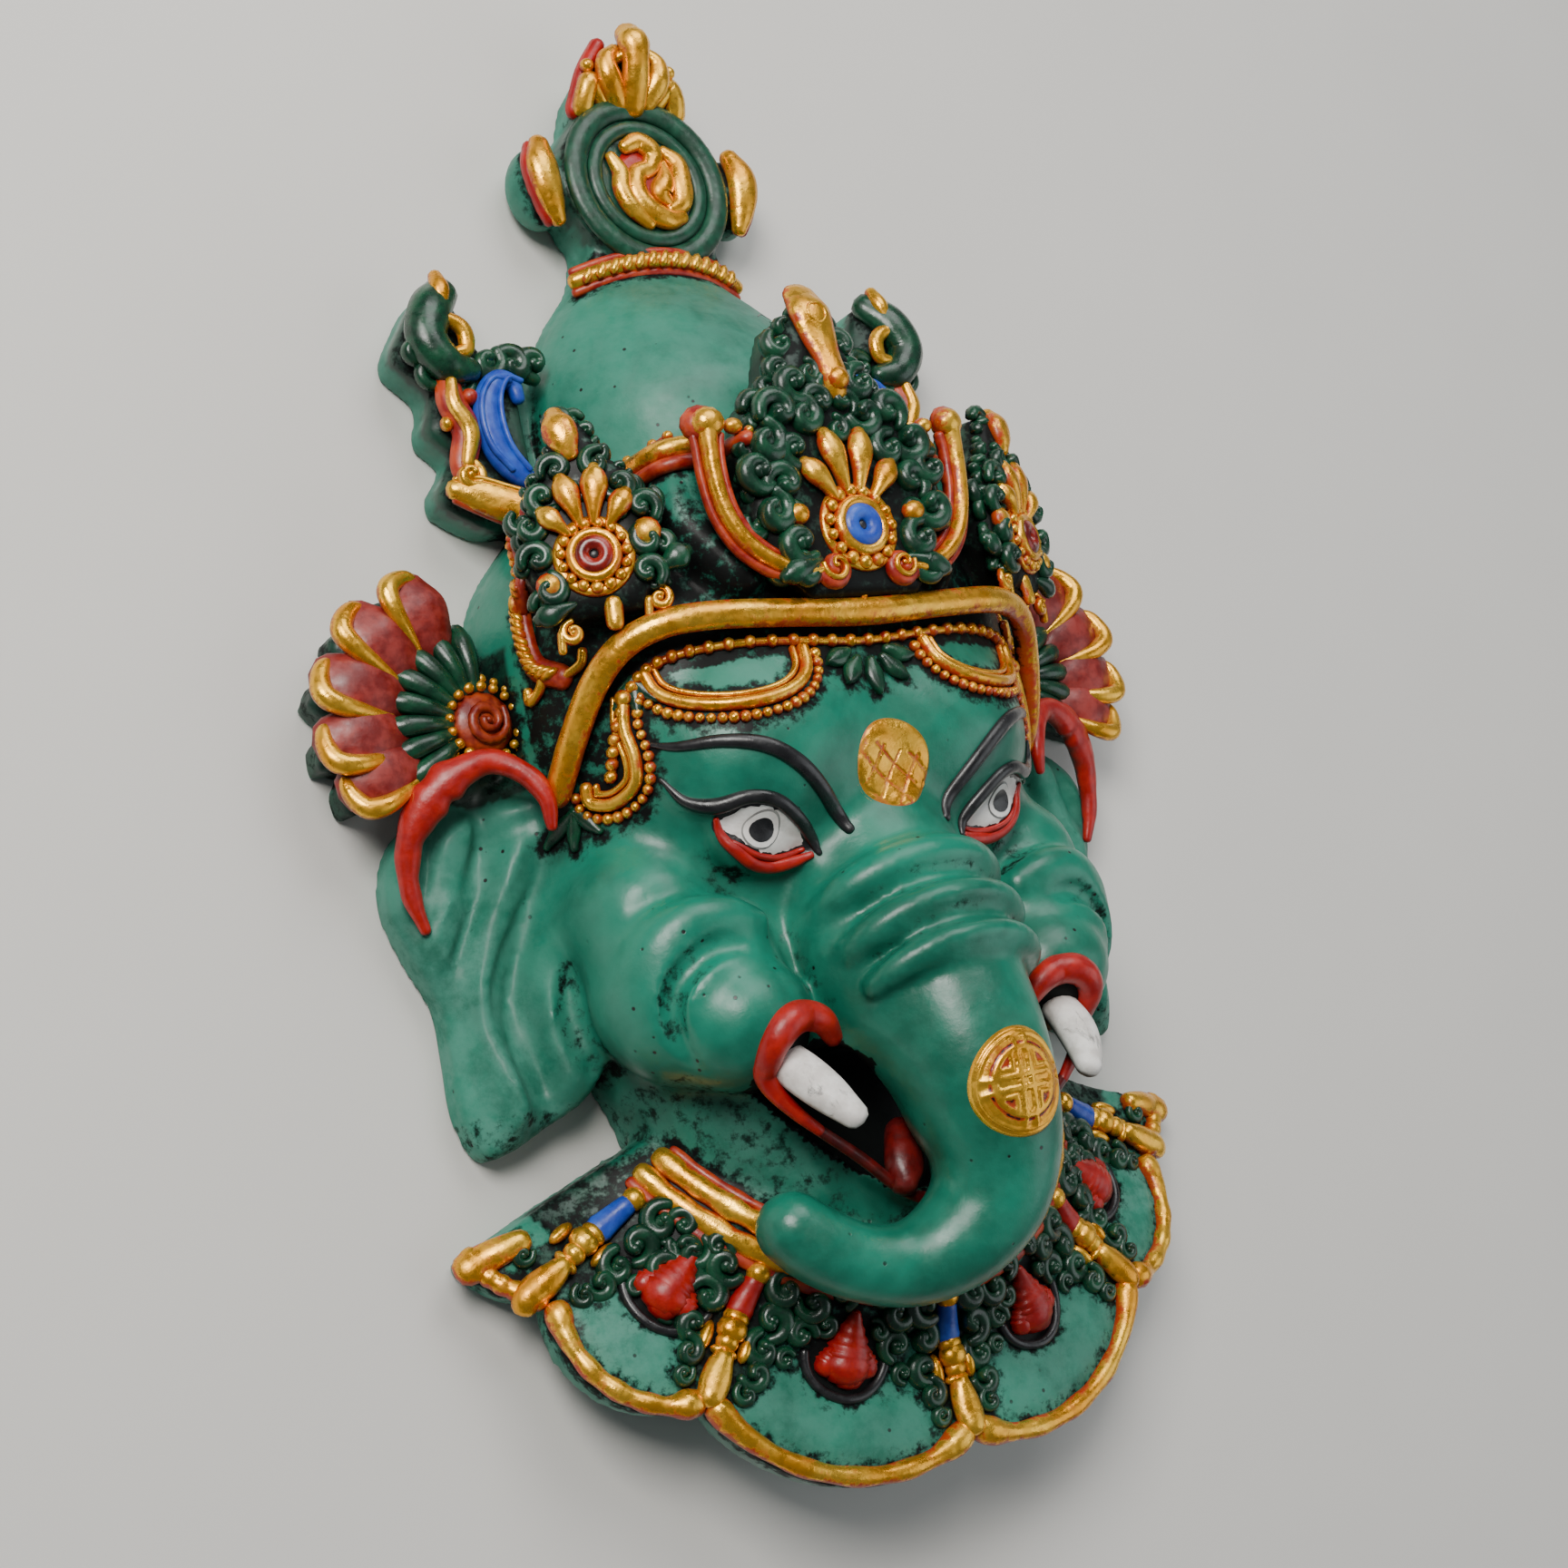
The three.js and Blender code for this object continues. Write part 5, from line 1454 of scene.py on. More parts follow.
def neck_of_disc(gold, red):
    """The roped band between the bun and the disc, with a red edge above and below."""
    xs = np.linspace(-NECK_HALF_WIDTH, NECK_HALF_WIDTH, 45)
    share = (xs / NECK_HALF_WIDTH) ** 2
    for shift, pile, width in ((0, gold, 1.5), (1.9, red, 0.8), (-1.9, red, 0.9)):
        sunk = 0.4 if shift else 0
        rows = np.stack([xs, NECK_Y + shift - NECK_SAG * share, NECK_TOP - NECK_FALL * share - sunk], 1)
        pile.sweep(rows, (0, 0, 1), width, width, 10)
    for k in range(2, 44, 3):
        spot = np.array((xs[k], NECK_Y - NECK_SAG * share[k], NECK_TOP + 1 - NECK_FALL * share[k]))
        gold.ball(spot, (0, 0, 1), (1.0, 1.9, 1.0), (0.55, 1, 0), 8, 5)


def bun_band(skin, gold, red):
    """The beaded band round the foot of the bun, seen on both sides of the middle leaf."""
    for side in SIDES:
        xs = side * np.linspace(16.5, 28, 9)
        for y, lift, pile, width in ((163.2, 0.7, gold, 1.7), (165.6, 0.3, red, 0.9), (160.6, 0.6, red, 1.3)):
            path, normals, _ = skin.laid([(x, y - 0.0022 * x * x) for x in xs], lift, 40)
            pile.sweep(path, normals, width, width, 10)
        path, normals, _ = skin.laid([(x, 165.4 - 0.0022 * x * x) for x in xs], 1.0, 16)
        for p, n in zip(path, normals):
            gold.ball(p, n, (0.95, 0.95, 0.95), (0, 1, 0), 8, 5)


CRACKS = (
    ((10.6, 193.2, 0.12), (13, 194.6, 0.2), (15.2, 194.2, 0.26), (17.4, 194.8, 0.1)),
    ((13.4, 192.6, 0.08), (14.6, 188, 0.14), (14.2, 182, 0.05)),
)


def bun_crack(skin, black):
    """A hairline crack in the bun's upper right."""
    for rows in CRACKS:
        path, normals, rest = skin.laid(rows, -0.02, 30)
        black.sweep(path, normals, rest[:, 0], 0.12, 6)


BROW = [
    (37.4, 116.2, 0.3), (34.4, 114.6, 0.8), (29.4, 113.8, 1.1), (23.9, 112, 1.3), (19.2, 108.9, 1.35),
    (14.4, 104.6, 1.3), (11, 100.9, 1.2), (9.6, 98.0, 0.9),
]
LINER_WIDTHS = (0.3, 0.85, 1.3, 1.15, 1.15, 1.15, 1.0, 0.5)
WHITE_OF_EYE = [
    (29.8, 102.4), (26.2, 103.6), (22.6, 102.9), (19.2, 100.8), (16.4, 97.6), (18.8, 96.7),
    (22.2, 96.5), (25, 97.5), (27.8, 100),
]
EYE_OPENING = [
    (30.6, 103.2), (26.2, 104.6), (22.4, 103.9), (18.6, 101.4), (15, 97), (15.4, 95.4), (18.4, 94.4),
    (22.2, 94.2), (26, 95.4), (29.2, 99),
]
LOWER_LID_WIDTHS = (0.5, 0.9, 1.1, 1.1, 1.0, 0.6)
LOWER_LINE = [(28, 99, 0.35), (25.2, 96.8, 0.5), (22, 95.9, 0.55), (18.8, 95.9, 0.5), (16.2, 96.4, 0.4)]
PUPIL = (23.8, 100.1)


def ragged(outline, count, size, seed):
    """A closed curve whose edge wanders like a brush's."""
    fine = closed_curve(outline, count)
    middle = fine.mean(0)
    turn = np.linspace(0, 2 * np.pi, count, endpoint=False)
    wander = size * (np.sin(turn * 11 + seed) + 0.7 * np.sin(turn * 23 + 2 * seed) + 0.5 * np.sin(turn * 37))
    return fine + unit(fine - middle) * wander[:, None]


def circle(centre, radius):
    turn = np.linspace(0, 2 * np.pi, 40, endpoint=False)
    return np.stack([centre[0] + radius * np.cos(turn), centre[1] + radius * 0.95 * np.sin(turn)], 1)


def eye(skin, side, black, white, grey, red):
    """A painted eye: brow and lid lines, the dark opening, the red lower lid, then white, iris and pupil."""
    def dropped(rows, lift, count, pile, flat=0.7):
        path, normals, rest = skin.laid(mirrored(rows, side), lift, count)
        pile.sweep(path, normals, rest[:, 0], rest[:, 0] * flat, 12)

    dropped(BROW, 0.1, 60, black, 0.75)
    dropped([(x, y, w) for (x, y, _, _), w in zip(UPPER_LID, LINER_WIDTHS)], 0.25, 60, black, 0.8)
    # The dark opening: black paint round the white, with painted shade below it.
    opening = closed_curve(EYE_OPENING, 48) * (side, 1)
    black.patch(skin, (side * 22.6, 99.4), opening, lambda u, v, out: 0.12)
    lower = [(x, y, w) for (x, y, _, _), w in zip(LOWER_LID, LOWER_LID_WIDTHS)]
    dropped(lower, 0.25, 36, red, 0.75)
    dropped(LOWER_LINE, 0.3, 30, red, 0.8)
    brushed = ragged(WHITE_OF_EYE, 90, 0.13, side + 2) * (side, 1)
    white.patch(skin, (side * 22.8, 99.8), brushed, lambda u, v, out: 0.3 - 0.12 * out ** 6)
    centre = (side * PUPIL[0], PUPIL[1])
    grey.patch(skin, centre, circle(centre, 3.0), lambda u, v, out: 0.42 - 0.1 * out ** 8, 6)
    white.patch(skin, centre, circle(centre, 2.75), lambda u, v, out: 0.46, 6)
    black.patch(skin, centre, circle(centre, 1.95), lambda u, v, out: 0.52, 5)


def hatch(u, v, slope, gap, width):
    """1 on evenly spaced lines that lean by the slope."""
    along = (u * math.cos(slope) + v * math.sin(slope)) / gap
    return np.abs(along - np.round(along)) * gap < width


def forehead_mark(skin, gold):
    """An oval disc with a cut rim, and crossed cuts in its lower part."""
    turn = np.linspace(0, 2 * np.pi, 90, endpoint=False)
    centre_y = 107.3
    outline = np.stack([8 * np.cos(turn), centre_y + 8.1 * np.sin(turn)], 1)

    def cut(u, v, out):
        crossed = hatch(u, v, 0.75, 3.3, 0.24) or hatch(u, v, -0.6, 3.3, 0.24)
        low = v < 2.6 - 0.3 * u and crossed and out < 0.88
        return low or 0.87 < out < 0.92

    def lift(u, v, out):
        return 1.1 - 1.5 * out ** 5 - (0.28 if cut(u, v, out) else 0)

    def rise(u, v, out):
        return 0.45 if cut(u, v, out) else 0.86

    gold.patch(skin, (0, centre_y), outline, lift, 34, rise)


def trunk_medallion(skin, gold):
    """An oval coin on the trunk: a rim, a double-barred cross and four ringed fields."""
    turn = np.linspace(0, 2 * np.pi, 96, endpoint=False)
    centre = (0.0, 54.4)
    outline = np.stack([centre[0] + 8.3 * np.cos(turn), centre[1] + 8.5 * np.sin(turn)], 1)

    def raised(u, v, out):
        cross = min(abs(abs(u) - 0.95), abs(abs(v) - 0.95)) < 0.42
        ring = abs(out - 0.58) < 0.05
        corner = min(abs(u), abs(v))
        inner = abs(corner - 2.0) < 0.35 and out < 0.6
        return out > 0.82 and not 0.87 < out < 0.9 or (out <= 0.82 and (cross or ring or inner))

    def lift(u, v, out):
        return 0.75 - 1.3 * out ** 9 + (0.3 if raised(u, v, out) else 0)

    def rise(u, v, out):
        if raised(u, v, out):
            return 0.95
        field_spot = 2.2 < min(abs(u), abs(v)) and out < 0.56
        return 0.25 if field_spot or 0.64 < out < 0.7 else 0.8

    gold.patch(skin, centre, outline, lift, 40, rise)


def raised_to(skin, points, lift):
    """Points moved up to the skin where they would lie under it."""
    tops = np.array([skin.under(x, y)[0][2] for x, y in points[:, :2]])
    return np.column_stack([points[:, :2], np.maximum(points[:, 2], tops + lift)])


LIP = [
    (19.6, 67, 39, 1.6), (22, 69.6, 40.6, 2.2), (25.6, 70.8, 40.8, 2.5), (29.4, 69.8, 39.6, 2.6),
    (31.8, 66.4, 37.4, 2.3), (31.2, 62, 36.6, 1.7), (28.2, 57.4, 37, 1.2), (24.4, 53.6, 37.2, 0.9),
]
LOWER_LIP = [(24.6, 53.8, 37.1, 0.9), (17.7, 48.4, 36.4, 1.0), (9, 41.6, 34.4, 1.0), (0, 38.4, 33.2, 1.0)]
TUSK = [
    (28.6, 68, 32, 2.9), (27.6, 65.4, 36, 3.3), (26.6, 62, 39.8, 3.6), (25.2, 58.6, 42.8, 3.3),
    (23.4, 55, 45.2, 2.4),
]
TONGUE = [(-7, 51, 32.6, 2.0), (-8.2, 48, 34.6, 3.2), (-9.4, 45.2, 35.6, 3.2), (-10.2, 43.2, 35.8, 2.2)]


def mouth(skin, red, white, deep_red):
    """Lips round the tusks, the lower lip, the tusks, and the tongue beside the trunk."""
    for side in SIDES:
        fine = curve_through(mirrored(LIP, side), 60)
        normals = unit(np.array([(side * 0.25, 0.1, 1.0)]))[0]
        red.sweep(eased(raised_to(skin, fine[:, :3], 0.2), 3), normals, fine[:, 3], fine[:, 3] * 0.95, 12)
        fine = curve_through(mirrored(LOWER_LIP, side), 36)
        deep_red.sweep(fine[:, :3], normals, fine[:, 3], fine[:, 3], 10)
        fine = curve_through(mirrored(TUSK, side), 40)
        normals = unit(np.array([(side * 0.2, 0.7, 0.7)]))[0]
        white.sweep(fine[:, :3], normals, fine[:, 3], fine[:, 3] * 0.85, 16)
    fine = curve_through(TONGUE, 30)
    deep_red.sweep(fine[:, :3], (0, 0.2, 1), fine[:, 3], 2.6, 14)


PENDANT_BEARINGS = (-61.6, -37.8, 0, 37.8, 61.6)
RED_BAR_BEARINGS = (37.8,)
ARC_RADIUS = 7.0
ARC_CENTRES = [on_collar(side * middle, 0.44)[:2] for middle in (18.9, 48.6) for side in SIDES]


def collar_path(skin, bearings, share, lift=0.3):
    rows = [on_collar(b, share)[:2] for b in bearings]
    return skin.laid(rows, lift, 4 * len(rows))


RIM_ARCS = ((0, 37.8), (37.8, 59.5), (59.5, 68.6))
RIM_GAP = 1.6
NECK_BANDS = (
    (42.4, 1.9, "band"), (46.0, 1.75, "band"), (48.2, 1.0, "edge"), (40.4, 0.8, "edge"),
)


def collar_rims(skin, gold, bands, edges):
    """The gold rims of the six lobes, thicker at their cusps, the two end knobs and the bands at the neck."""
    for start, end in RIM_ARCS:
        last = end - (RIM_GAP if end < 68 else 0)
        count = max(int((end - start) * 0.7), 6)
        for side in SIDES:
            path, normals, _ = collar_path(skin, side * np.linspace(start + RIM_GAP, last, count), 0.955)
            t = np.linspace(0, 1, len(path))
            at_cusps = np.exp(-((t - 0.02) / 0.07) ** 2) + np.exp(-((t - 0.98) / 0.07) ** 2)
            width = 1.55 + 0.75 * at_cusps + 0.12 * np.sin(t * 31)
            gold.sweep(path, normals, width, width * 0.95, 12)
    for side in SIDES:
        corner = [on_collar(side * b, s)[:2] for b, s in ((68, 0.98), (67.8, 0.86), (67.2, 0.76))]
        path, normals, _ = skin.laid(corner, 0.6, 14)
        gold.sweep(path, normals, np.linspace(2.7, 2, len(path)), 1.9, 12)
    turns = [math.radians(b) for b in np.linspace(-64, 64, 27)]
    for reach, width, kind in NECK_BANDS:
        pile = bands if kind == "band" else edges
        rows = [(reach * math.sin(a), COLLAR_CENTRE_Y - reach * math.cos(a)) for a in turns]
        path, normals, _ = skin.laid(rows, 0.5, 160)
        t = np.linspace(0, 1, len(path))
        hammered = 1 + 0.08 * np.sin(t * 120) + 0.06 * np.sin(t * 71)
        pile.sweep(path, normals, width * hammered, width * 0.75 * (1 + 0.07 * np.sin(t * 97)), 12)


def collar_spot(skin, bearing, share, lift=0.0):
    p, n = skin.under(*on_collar(bearing, share)[:2])
    return p + n * lift, n


PENDANT_CURLS = (
    (0.26, 5.6, 2.9), (0.27, 11, 2.6), (0.41, 5.4, 2.9), (0.41, 10.6, 2.5), (0.55, 5.4, 2.7),
    (0.68, 4.9, 2.3), (0.2, 15.4, 2.3), (0.54, 9.2, 1.6), (0.79, 4.3, 1.7), (0.34, 14.2, 1.7),
)
CURLS_END = 66


def pendant(skin, bearing, gold, bar, green):
    """Beads, a coloured bar and a gold drop down the collar at a bearing, with curls beside them."""
    down = np.array([math.sin(math.radians(bearing)), -math.cos(math.radians(bearing)), 0])

    def bead(share, lift, radii, pile, swing=0.0):
        p, n = collar_spot(skin, bearing + swing, share, lift)
        pile.ball(p, n, radii, down)

    bead(0.27, 0.8, (2, 1.9, 1.7), gold)
    path, normals, _ = skin.laid([on_collar(bearing, s)[:2] for s in (0.32, 0.38, 0.44, 0.48)], 0.8, 18)
    bar.sweep(path, normals, np.linspace(1.7, 2.3, 18), 1.6, 12)
    bead(0.53, 1.1, (2.2, 1.6, 1.6), gold)
    bead(0.60, 1.5, (2.5, 2.3, 1.9), gold)
    bead(0.68, 1.3, (1.9, 1.7, 1.6), gold)
    for swing in (-3.0, 3.0):
        bead(0.60, 0.6, (1.1, 2.6, 1.3), gold, swing)
    bead(0.735, 0.9, (2.3, 1.0, 1.3), gold)
    path, normals, _ = skin.laid([on_collar(bearing, s)[:2] for s in (0.77, 0.84, 0.92, 0.985)], 1.2, 20)
    drop = [1.5 + math.sin(math.pi * min(t * 0.75, 1)) for t in np.linspace(0.1, 1, 20)]
    gold.sweep(path, normals, np.array(drop), 1.8, 12)
    for k, (share, swing, r) in enumerate(PENDANT_CURLS):
        for way in SIDES:
            b = bearing + way * swing
            if abs(b) > CURLS_END:
                continue
            p, n = collar_spot(skin, b, share)
            place = Place(p[0], p[2], math.atan2(n[0], n[2]))
            green.spiral(place, 0, p[1], 0.4, r, k * 1.7 + way, way, 0.95, r * 0.46, r * 0.52)


FLAME_TONGUES = ((0, 6.4, 0.6, 4.1), (-3.4, 2.6, 1.6, 2.1), (3.4, 3.0, 1.2, 2.2), (0.6, 2.4, 2.4, 2.6))
FLAME_WIDTHS = ((0, 0.22), (0.35, 0.55), (0.7, 0.86), (1, 0.95))


def flames(skin, scarlet, black):
    """A ragged red cone over each pad, and the dark half ring round its foot."""
    for x, y in ARC_CENTRES:
        down = unit(np.array([(x, y - COLLAR_CENTRE_Y)]))[0]
        across = np.array([-down[1], down[0]])
        spot = np.array([x, y]) + down * 0.5
        for swing, reach, foot, size in FLAME_TONGUES:
            tip = spot - down * reach + across * swing * 0.35
            base = spot + down * foot + across * swing
            rows = [(*(tip + (base - tip) * t), w * size) for t, w in FLAME_WIDTHS]
            path, normals, rest = skin.laid(rows, 0.5, 18)
            ripple = 1 + 0.1 * np.sin(np.arange(18) * 1.9 + swing)
            scarlet.sweep(path, normals, rest[:, 0] * ripple, rest[:, 0] * 0.75 + 0.3, 12)
        turn = math.atan2(down[1], down[0])
        arc = [
            (x + ARC_RADIUS * math.cos(turn + a), y + ARC_RADIUS * math.sin(turn + a))
            for a in np.linspace(-1.5, 1.5, 15)
        ]
        path, normals, _ = skin.laid(arc, 0.1, 44)
        black.sweep(path, normals, 0.85, 0.9, 8)


def scale_of(values, low, high):
    return np.clip((values - low) / (high - low), 0, 1)


def chain_distance(rows, x, y, z):
    return chain(curve_through(rows, 70))(x, y, z)


def near_outline(x, y, z, outline, place, low, high):
    u, v, w = place.local(x, y, z)
    inside = outline_distance(outline, u, v) < 0.8
    return inside & (w > low) & (w < high)


# Reach and fade of the black wash and painted shade round the ornaments, how far the hollows are probed, and
# the share that makes the mouth's inside fully dark.
WASH_AND_SHADE_REACH = 3.2
WASH_AND_SHADE_FADE = 3.0
DEPTH_PROBES = ((1.5, 0.8), (3, 0.9), (6, 0.8))
FULL_SHADE = 1.5


def hollow_wash_and_shade(points, normals, field):
    """Black wash and painted shade where the casting rises close round a point: occlusion read from the
    field.
    """
    hidden = np.zeros(len(points))
    for reach, share in DEPTH_PROBES:
        hidden += share * np.clip((reach - field.at(points + normals * reach)) / reach, 0, 1.2)
    return scale_of(hidden, 0.45, 1.9) * 0.85


def ornament_wash_and_shade(points, ornaments):
    """Black wash and painted shade at the foot of the ornaments."""
    gaps = [ornaments.find_nearest(Vector(p), WASH_AND_SHADE_REACH)[3] for p in points]
    gap = np.array([WASH_AND_SHADE_REACH if found is None else found for found in gaps])
    return 0.95 - gap / WASH_AND_SHADE_FADE * 0.95


def collar_areas(x, y, z, on_trunk):
    """Where the collar's front, its bare pads and the foliage beside its pendants lie."""
    _, bearing, _, share = collar_polar(x, y)
    front = z > collar_depth(bearing, np.clip(share, 0, 1)) - 3
    on = (y < 62) & front & (share > 0.02) & (share < 1.05) & (np.abs(bearing) < 71) & ~on_trunk
    to_pendant = np.min([np.abs(bearing - b) for b in PENDANT_BEARINGS], axis=0)
    from_arc = np.min([np.hypot(x - a, y - b) for a, b in ARC_CENTRES], axis=0)
    pad = on & (share > 0.4) & (share < 0.93) & (to_pendant > 3.6) & (from_arc > ARC_RADIUS + 0.8)
    pad &= (share > 0.62) | (from_arc < ARC_RADIUS + 7)
    foliage = on & ~pad & (share > 0.2) & (share < 0.82) & (to_pendant < 11)
    return on, pad, foliage, on & (from_arc < ARC_RADIUS - 0.4)


def face_wash_and_shade(wash_and_shade, x, y, z, on_trunk):
    """Less wash and shade on the trunk and beside it; painted shadow under the headband, painted shade at the
    temples.
    """
    ax = np.abs(x)
    wash_and_shade = np.where(on_trunk, wash_and_shade * 0.55, wash_and_shade)
    beside_trunk = (ax > 9) & (ax < 25) & (y > 66) & (y < 94) & (z > 24)
    wash_and_shade = np.where(beside_trunk, wash_and_shade * 0.4, wash_and_shade)
    # Painted shadow under the headband.
    under_band = (y > 126.2) & (y < 133) & (ax < 44) & (z > 26)
    wash_and_shade = np.where(under_band, np.maximum(wash_and_shade, 0.95), wash_and_shade)
    # Painted shade at the temples.
    temple = (ax > 37.4) & (y > 105) & (y < 131) & (z > 16)
    return np.where(temple, np.maximum(wash_and_shade, 0.8), wash_and_shade)


def mouth_and_neck_wash_and_shade(wash_and_shade, x, y, z, on_trunk, on_collar_face):
    ax = np.abs(x)
    # The crown's wall darker towards its foot.
    crown_low = (z > 20) & (y > 131) & (ax < 49) & (y < 162)
    wash_and_shade = np.where(crown_low, np.maximum(wash_and_shade, 0.85 - scale_of(y, 148, 162) * 0.8), wash_and_shade)
    # Painted shade: the mouth's hollow inside made fully dark.
    in_mouth = (mouth_scoop(x, y, z) < 0.9) & (y > 38.5) & (y < 67) & (z > 13) & (z < 43) & ~on_trunk
    wash_and_shade = np.where(in_mouth, FULL_SHADE, wash_and_shade)
    # Painted shade: the gap round each tusk made fully dark.
    round_tusk = (np.hypot((ax - 27.4) / 5.4, (y - 65) / 6.4) < 1) & (z > 26)
    wash_and_shade = np.where(round_tusk, FULL_SHADE, wash_and_shade)
    # Black wash and painted shade on the neck under the jaw.
    neck = (y < 66) & (y > 30) & (z < 30) & ~on_collar_face & ~on_trunk & (ax > 14)
    wash_and_shade = np.where(neck, np.maximum(wash_and_shade, 0.42), wash_and_shade)
    # Black wash and painted shade round the foot of the bun.
    bun_foot = (y > 155) & (y < 168) & (z > 8)
    return np.where(bun_foot, np.maximum(wash_and_shade, 0.75 - np.abs(y - 161.5) / 8), wash_and_shade)


def dull_grounds(x, y, z, wash_and_shade, foliage):
    """The dull green under foliage, and the black wash and painted shade that go with it on fans and disc."""
    ground = np.where(foliage, 0.9, 0.0)
    ground = np.where(near_outline(x, y, z, both_ways(CENTRE_LEAF), leaf_place(0), -3, 12), 1.0, ground)
    for side in SIDES:
        leaf = both_ways(SIDE_LEAF) * (side, 1)
        ground = np.where(near_outline(x, y, z, leaf, leaf_place(side * SIDE_LEAF_X), -2, 12), 1.0, ground)
        ornament = closed_curve(mirrored(SIDE_ORNAMENT, side), 60)
        on_scroll = near_outline(x, y, z, ornament, FLAT, 5.5, 16) & (np.abs(x) > 33)
        ground = np.where(on_scroll, 1.0, ground)
        fan = near_outline(x, y, z, fan_outline(side), FLAT, 1, 14)
        ground = np.where(fan, 1.0, ground)
        # Black wash and painted shade on the fan's plate between its petals.
        wash_and_shade = np.where(fan, np.maximum(wash_and_shade, 0.45), wash_and_shade)
    on_disc = (np.hypot(x, y - DISC_CENTRE_Y) < DISC_RADIUS + 0.8) & (z > 6)
    return np.where(on_disc, 0.85, ground), np.where(on_disc, wash_and_shade * 0.6, wash_and_shade)


def chalk_share(x, y, z, pad, on_collar_face):
    """Dry, chalky resin on ears, pads, back edge, top, bun and neck."""
    chalk = 0.6 * scale_of(np.abs(x), 44, 58) * (y < 120) + 0.5 * pad + 0.6 * (z < 4)
    chalk = chalk + 0.35 * ((y > 200) & (z < 10)) + 0.4 * ((y > 167) & (y < 206) & (z > 8))
    chalk = chalk + 0.35 * ((y < 66) & (y > 44) & (z < 26) & ~on_collar_face)
    return np.clip(chalk, 0, 1)


def paint_body(body, points, normals, field, ornaments):
    """Where black wash and painted shade, dull green ground and chalky resin lie on the body."""
    x, y, z = points.T
    on_trunk = (chain_distance(TRUNK, x, y, z) < 1.2) & (z > 30)
    on, pad, foliage, in_arc = collar_areas(x, y, z, on_trunk)
    wash_and_shade = np.maximum(hollow_wash_and_shade(points, normals, field), ornament_wash_and_shade(points, ornaments))
    wash_and_shade = face_wash_and_shade(wash_and_shade, x, y, z, on_trunk)
    wash_and_shade = np.where(on & ~pad, np.maximum(wash_and_shade, 0.62), wash_and_shade)
    wash_and_shade = np.where(pad, wash_and_shade * 0.7, wash_and_shade)
    wash_and_shade = mouth_and_neck_wash_and_shade(wash_and_shade, x, y, z, on_trunk, on)
    wash_and_shade = np.where(in_arc, np.maximum(wash_and_shade, 1.2), wash_and_shade)
    ground, wash_and_shade = dull_grounds(x, y, z, wash_and_shade, foliage)
    store(body, "wash_and_shade", wash_and_shade)
    store(body, "ground", ground)
    store(body, "chalk", chalk_share(x, y, z, pad, on))


# Painted lines and cast forms that gather neither black wash nor painted shade at their foot.
CRISP = (
    "eye_lines", "eye_whites", "iris_rings", "lower_lids", "forehead_mark", "trunk_medallion", "lips",
    "tusks",
    "mouth_red", "ear_scarves",
)


def on_collar_front(points, quads):
    """The faces of the collar and the neck, without the trunk that hangs over them."""
    x, y, z = points[quads].mean(1).T
    _, bearing, _, share = collar_polar(x, y)
    return (y < 66) & (z < collar_depth(bearing, np.clip(share, 0, 1)) + 2.6)


RED_GROUND = colour(140, 20, 8)


def make_paints():
    plain = {
        "red_paint": ((150, 10, 8), (178, 26, 16), (60, 8, 8), {}),
        "worn_red": ((140, 18, 10), (186, 66, 26), (40, 10, 8), {"rough": (0.3, 0.55)}),
        "dusty_red_paint": ((108, 12, 10), (146, 48, 42), (48, 8, 8), {"rough": (0.35, 0.6)}),
        "deep_red_paint": ((74, 9, 9), (108, 15, 13), None, {}),
        "dark_green_paint": ((6, 44, 28), (14, 72, 46), None, {"rough": (0.22, 0.4), "coat": 0.3}),
        "disc_green_paint": ((10, 54, 36), (20, 76, 54), None, {"rough": (0.3, 0.5)}),
        "blue_paint": ((26, 62, 168), (48, 92, 196), None, {}),
        "ruby_paint": ((84, 6, 5), (150, 28, 12), None, {"rough": (0.2, 0.35), "coat": 0.3}),
        "black_paint": ((20, 20, 22), (34, 34, 36), None, {"rough": (0.25, 0.45), "coat": 0.3}),
        "white_paint": (
            (242, 240, 236), (222, 218, 212), (90, 88, 84), {"rough": (0.4, 0.6), "foot": (0.2, 0.02)}
        ),
        "grey_paint": ((120, 120, 118), (150, 150, 146), None, {}),
        "ember_paint": ((112, 16, 8), (172, 66, 28), (40, 8, 6), {"rough": (0.3, 0.5)}),
    }
    paints = {
        "gilt_over_orange": gilt_paint("gilt_over_orange", colour(176, 50, 12)),
        "gilt_over_red": gilt_paint("gilt_over_red", RED_GROUND, 0.1),
        "bright_gilt": gilt_paint("bright_gilt", colour(190, 120, 40), -0.14),
        "coin_gilt": gilt_paint("coin_gilt", RED_GROUND, -0.12),
        "tusk_paint": tusk_paint(),
    }
    for name, (main, second, foot_colour, more) in plain.items():
        foot_paint = colour(*foot_colour) if foot_colour else NEAR_BLACK
        paints[name] = plain_paint(name, colour(*main), colour(*second), foot_paint, **more)
    return paints


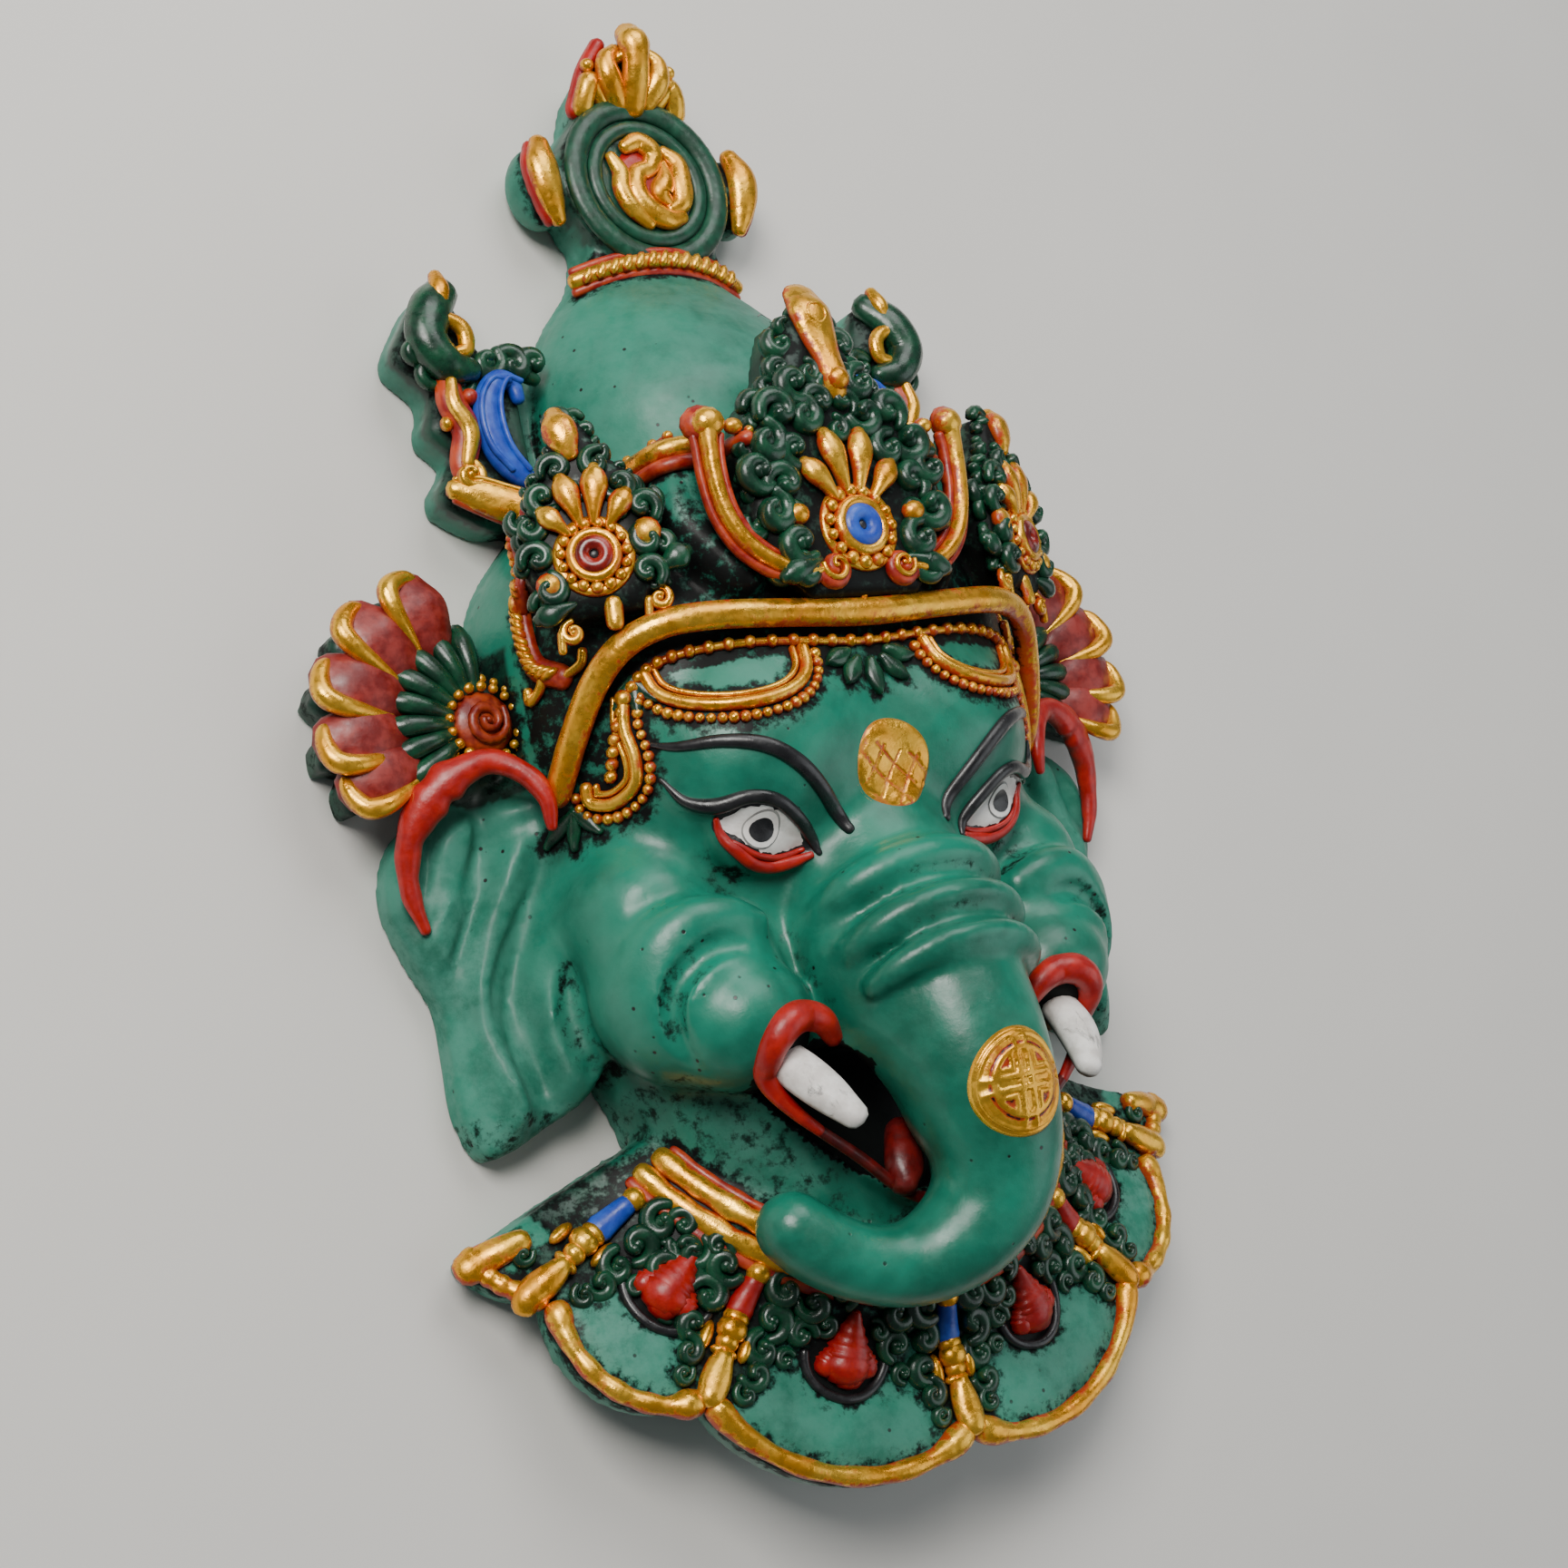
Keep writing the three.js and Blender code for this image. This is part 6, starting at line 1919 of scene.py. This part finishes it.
def lay_ornaments(skin, collar_skin):
    """Every pile of cast ornaments and painted lines, each of one colour in one area."""
    paints = make_paints()

    def piles(**names):
        return [Pile(name, paints[paint]) for name, paint in names.items()]

    headband(skin, *piles(headband="gilt_over_orange", headband_beads="gilt_over_red"))
    forehead(skin, *piles(
        forehead_loops="gilt_over_orange", forehead_loop_beads="gilt_over_red",
        forehead_leaves="dark_green_paint",
    ))
    crown(skin, *piles(
        crown_gold="gilt_over_orange", crown_red="worn_red", crown_foliage="dark_green_paint",
        crown_blue_stone="blue_paint", crown_red_stones="ruby_paint", crown_stone_hearts="black_paint",
    ))
    fans(*piles(
        fan_gold="bright_gilt", fan_blades="dusty_red_paint", fan_pleats="dark_green_paint",
        fan_rosettes="ember_paint", ear_scarves="red_paint",
    ))
    side_ornaments(*piles(
        side_gold="bright_gilt", side_red="worn_red", side_foliage="dark_green_paint",
        side_crescents="blue_paint",
    ))
    neck_of_disc(*piles(top_band="gilt_over_orange", top_band_edges="worn_red"))
    top_gold, top_red, rings = piles(
        top_gold="bright_gilt", top_red="red_paint", disc_rings="disc_green_paint"
    )
    disc(top_gold, top_red, rings)
    finial(top_gold, top_red)
    bun_band(skin, *piles(bun_band="gilt_over_orange", bun_band_edges="worn_red"))
    black, white, grey, lid_red = piles(
        eye_lines="black_paint", eye_whites="white_paint", iris_rings="grey_paint", lower_lids="red_paint",
    )
    for side in SIDES:
        eye(skin, side, black, white, grey, lid_red)
    bun_crack(skin, black)
    forehead_mark(skin, *piles(forehead_mark="bright_gilt"))
    trunk_medallion(skin, *piles(trunk_medallion="coin_gilt"))
    mouth(skin, *piles(lips="red_paint", tusks="tusk_paint", mouth_red="deep_red_paint"))
    collar_rims(collar_skin, *piles(
        collar_rims="gilt_over_orange", neck_bands="gilt_over_orange", neck_band_edges="worn_red",
    ))
    pendants, red_bars, blue_bars, collar_green = piles(
        pendants="bright_gilt", pendant_red_bars="red_paint", pendant_blue_bars="blue_paint",
        collar_foliage="dark_green_paint",
    )
    for bearing in PENDANT_BEARINGS:
        bar = red_bars if abs(bearing) in RED_BAR_BEARINGS else blue_bars
        pendant(collar_skin, bearing, pendants, bar, collar_green)
    flames(collar_skin, *piles(collar_flames="red_paint", collar_arcs="black_paint"))


def joined(piles):
    """One search tree over the ornaments that gather stain."""
    points, faces, count = [], [], 0
    for pile in piles:
        points += pile.points
        faces += [tuple(i + count for i in face) for face in pile.faces]
        count += pile.count
    return BVHTree.FromPolygons(np.vstack(points).tolist(), faces)


def make_mask():
    field = body_field()
    points, quads = surface_net(field)
    points = smoothed(points, quads)
    skin = Skin(points, quads)
    collar_skin = Skin(points, quads[on_collar_front(points, quads)])
    lay_ornaments(skin, collar_skin)
    body = mesh_object("mask_body", points, quads, body_paint())
    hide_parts("mask")
    body_points, body_normals = thinned(body, BODY_TRIANGLES)
    for pile in Pile.every:
        pile.obj()
    ornaments = joined([pile for pile in Pile.every if pile.name not in CRISP])
    paint_body(body, body_points, body_normals, field, ornaments)


PHOTO_LENS, SENSOR = 52.595, 36.0
EYE_POINT = Vector((-0.21887, -0.072416, 0.32656))
EYE_RIGHT, EYE_UP, EYE_BACK = (0.8201, -0.2120, 0.5315), (0.0900, 0.9651, 0.2460), (-0.5651, -0.1539, 0.8105)


def camera():
    data = bpy.data.cameras.new("photo_camera")
    data.lens, data.sensor_width = PHOTO_LENS, SENSOR
    obj = bpy.data.objects.new("photo_camera", data)
    rows = [(EYE_RIGHT[k], EYE_UP[k], EYE_BACK[k], EYE_POINT[k]) for k in range(3)]
    obj.matrix_world = Matrix(rows + [(0, 0, 0, 1)])
    bpy.context.scene.collection.objects.link(obj)
    bpy.context.scene.camera = obj


def lamp(name, place, target, power, size, tint=(1, 1, 1)):
    data = bpy.data.lights.new(name, "AREA")
    data.energy, data.size, data.color = power, size, tint
    obj = bpy.data.objects.new(name, data)
    obj.location = place
    obj.rotation_euler = (Vector(target) - Vector(place)).to_track_quat("-Z", "Y").to_euler()
    bpy.context.scene.collection.objects.link(obj)


def studio():
    lamp("key", (-0.42, 0.30, 0.62), (0, 0, 0.02), 6.5, 0.34, (1, 0.97, 0.93))
    lamp("overhead", (0.15, 0.55, 0.60), (0, 0.02, 0.02), 3.2, 0.5)
    lamp("fill", (0.55, -0.25, 0.50), (0, 0, 0.02), 1.4, 0.6, (0.93, 0.97, 1))
    world = bpy.data.worlds.new("room")
    world.use_nodes = True
    world.node_tree.nodes["Background"].inputs["Color"].default_value = (0.8, 0.84, 0.9, 1)
    world.node_tree.nodes["Background"].inputs["Strength"].default_value = 0.16
    bpy.context.scene.world = world
    paint = Paint("pale_floor")
    paint.finish(paint.mix(paint.noise(60, 3), colour(214, 212, 207), colour(221, 219, 214)), 0.75)
    mesh = bpy.data.meshes.new("floor")
    mesh.from_pydata([(-3, -3, 0), (3, -3, 0), (3, 3, 0), (-3, 3, 0)], [], [(0, 1, 2, 3)])
    mesh.materials.append(paint.material)
    floor = bpy.data.objects.new("floor", mesh)
    bpy.context.scene.collection.objects.link(floor)


camera()
studio()
make_mask()
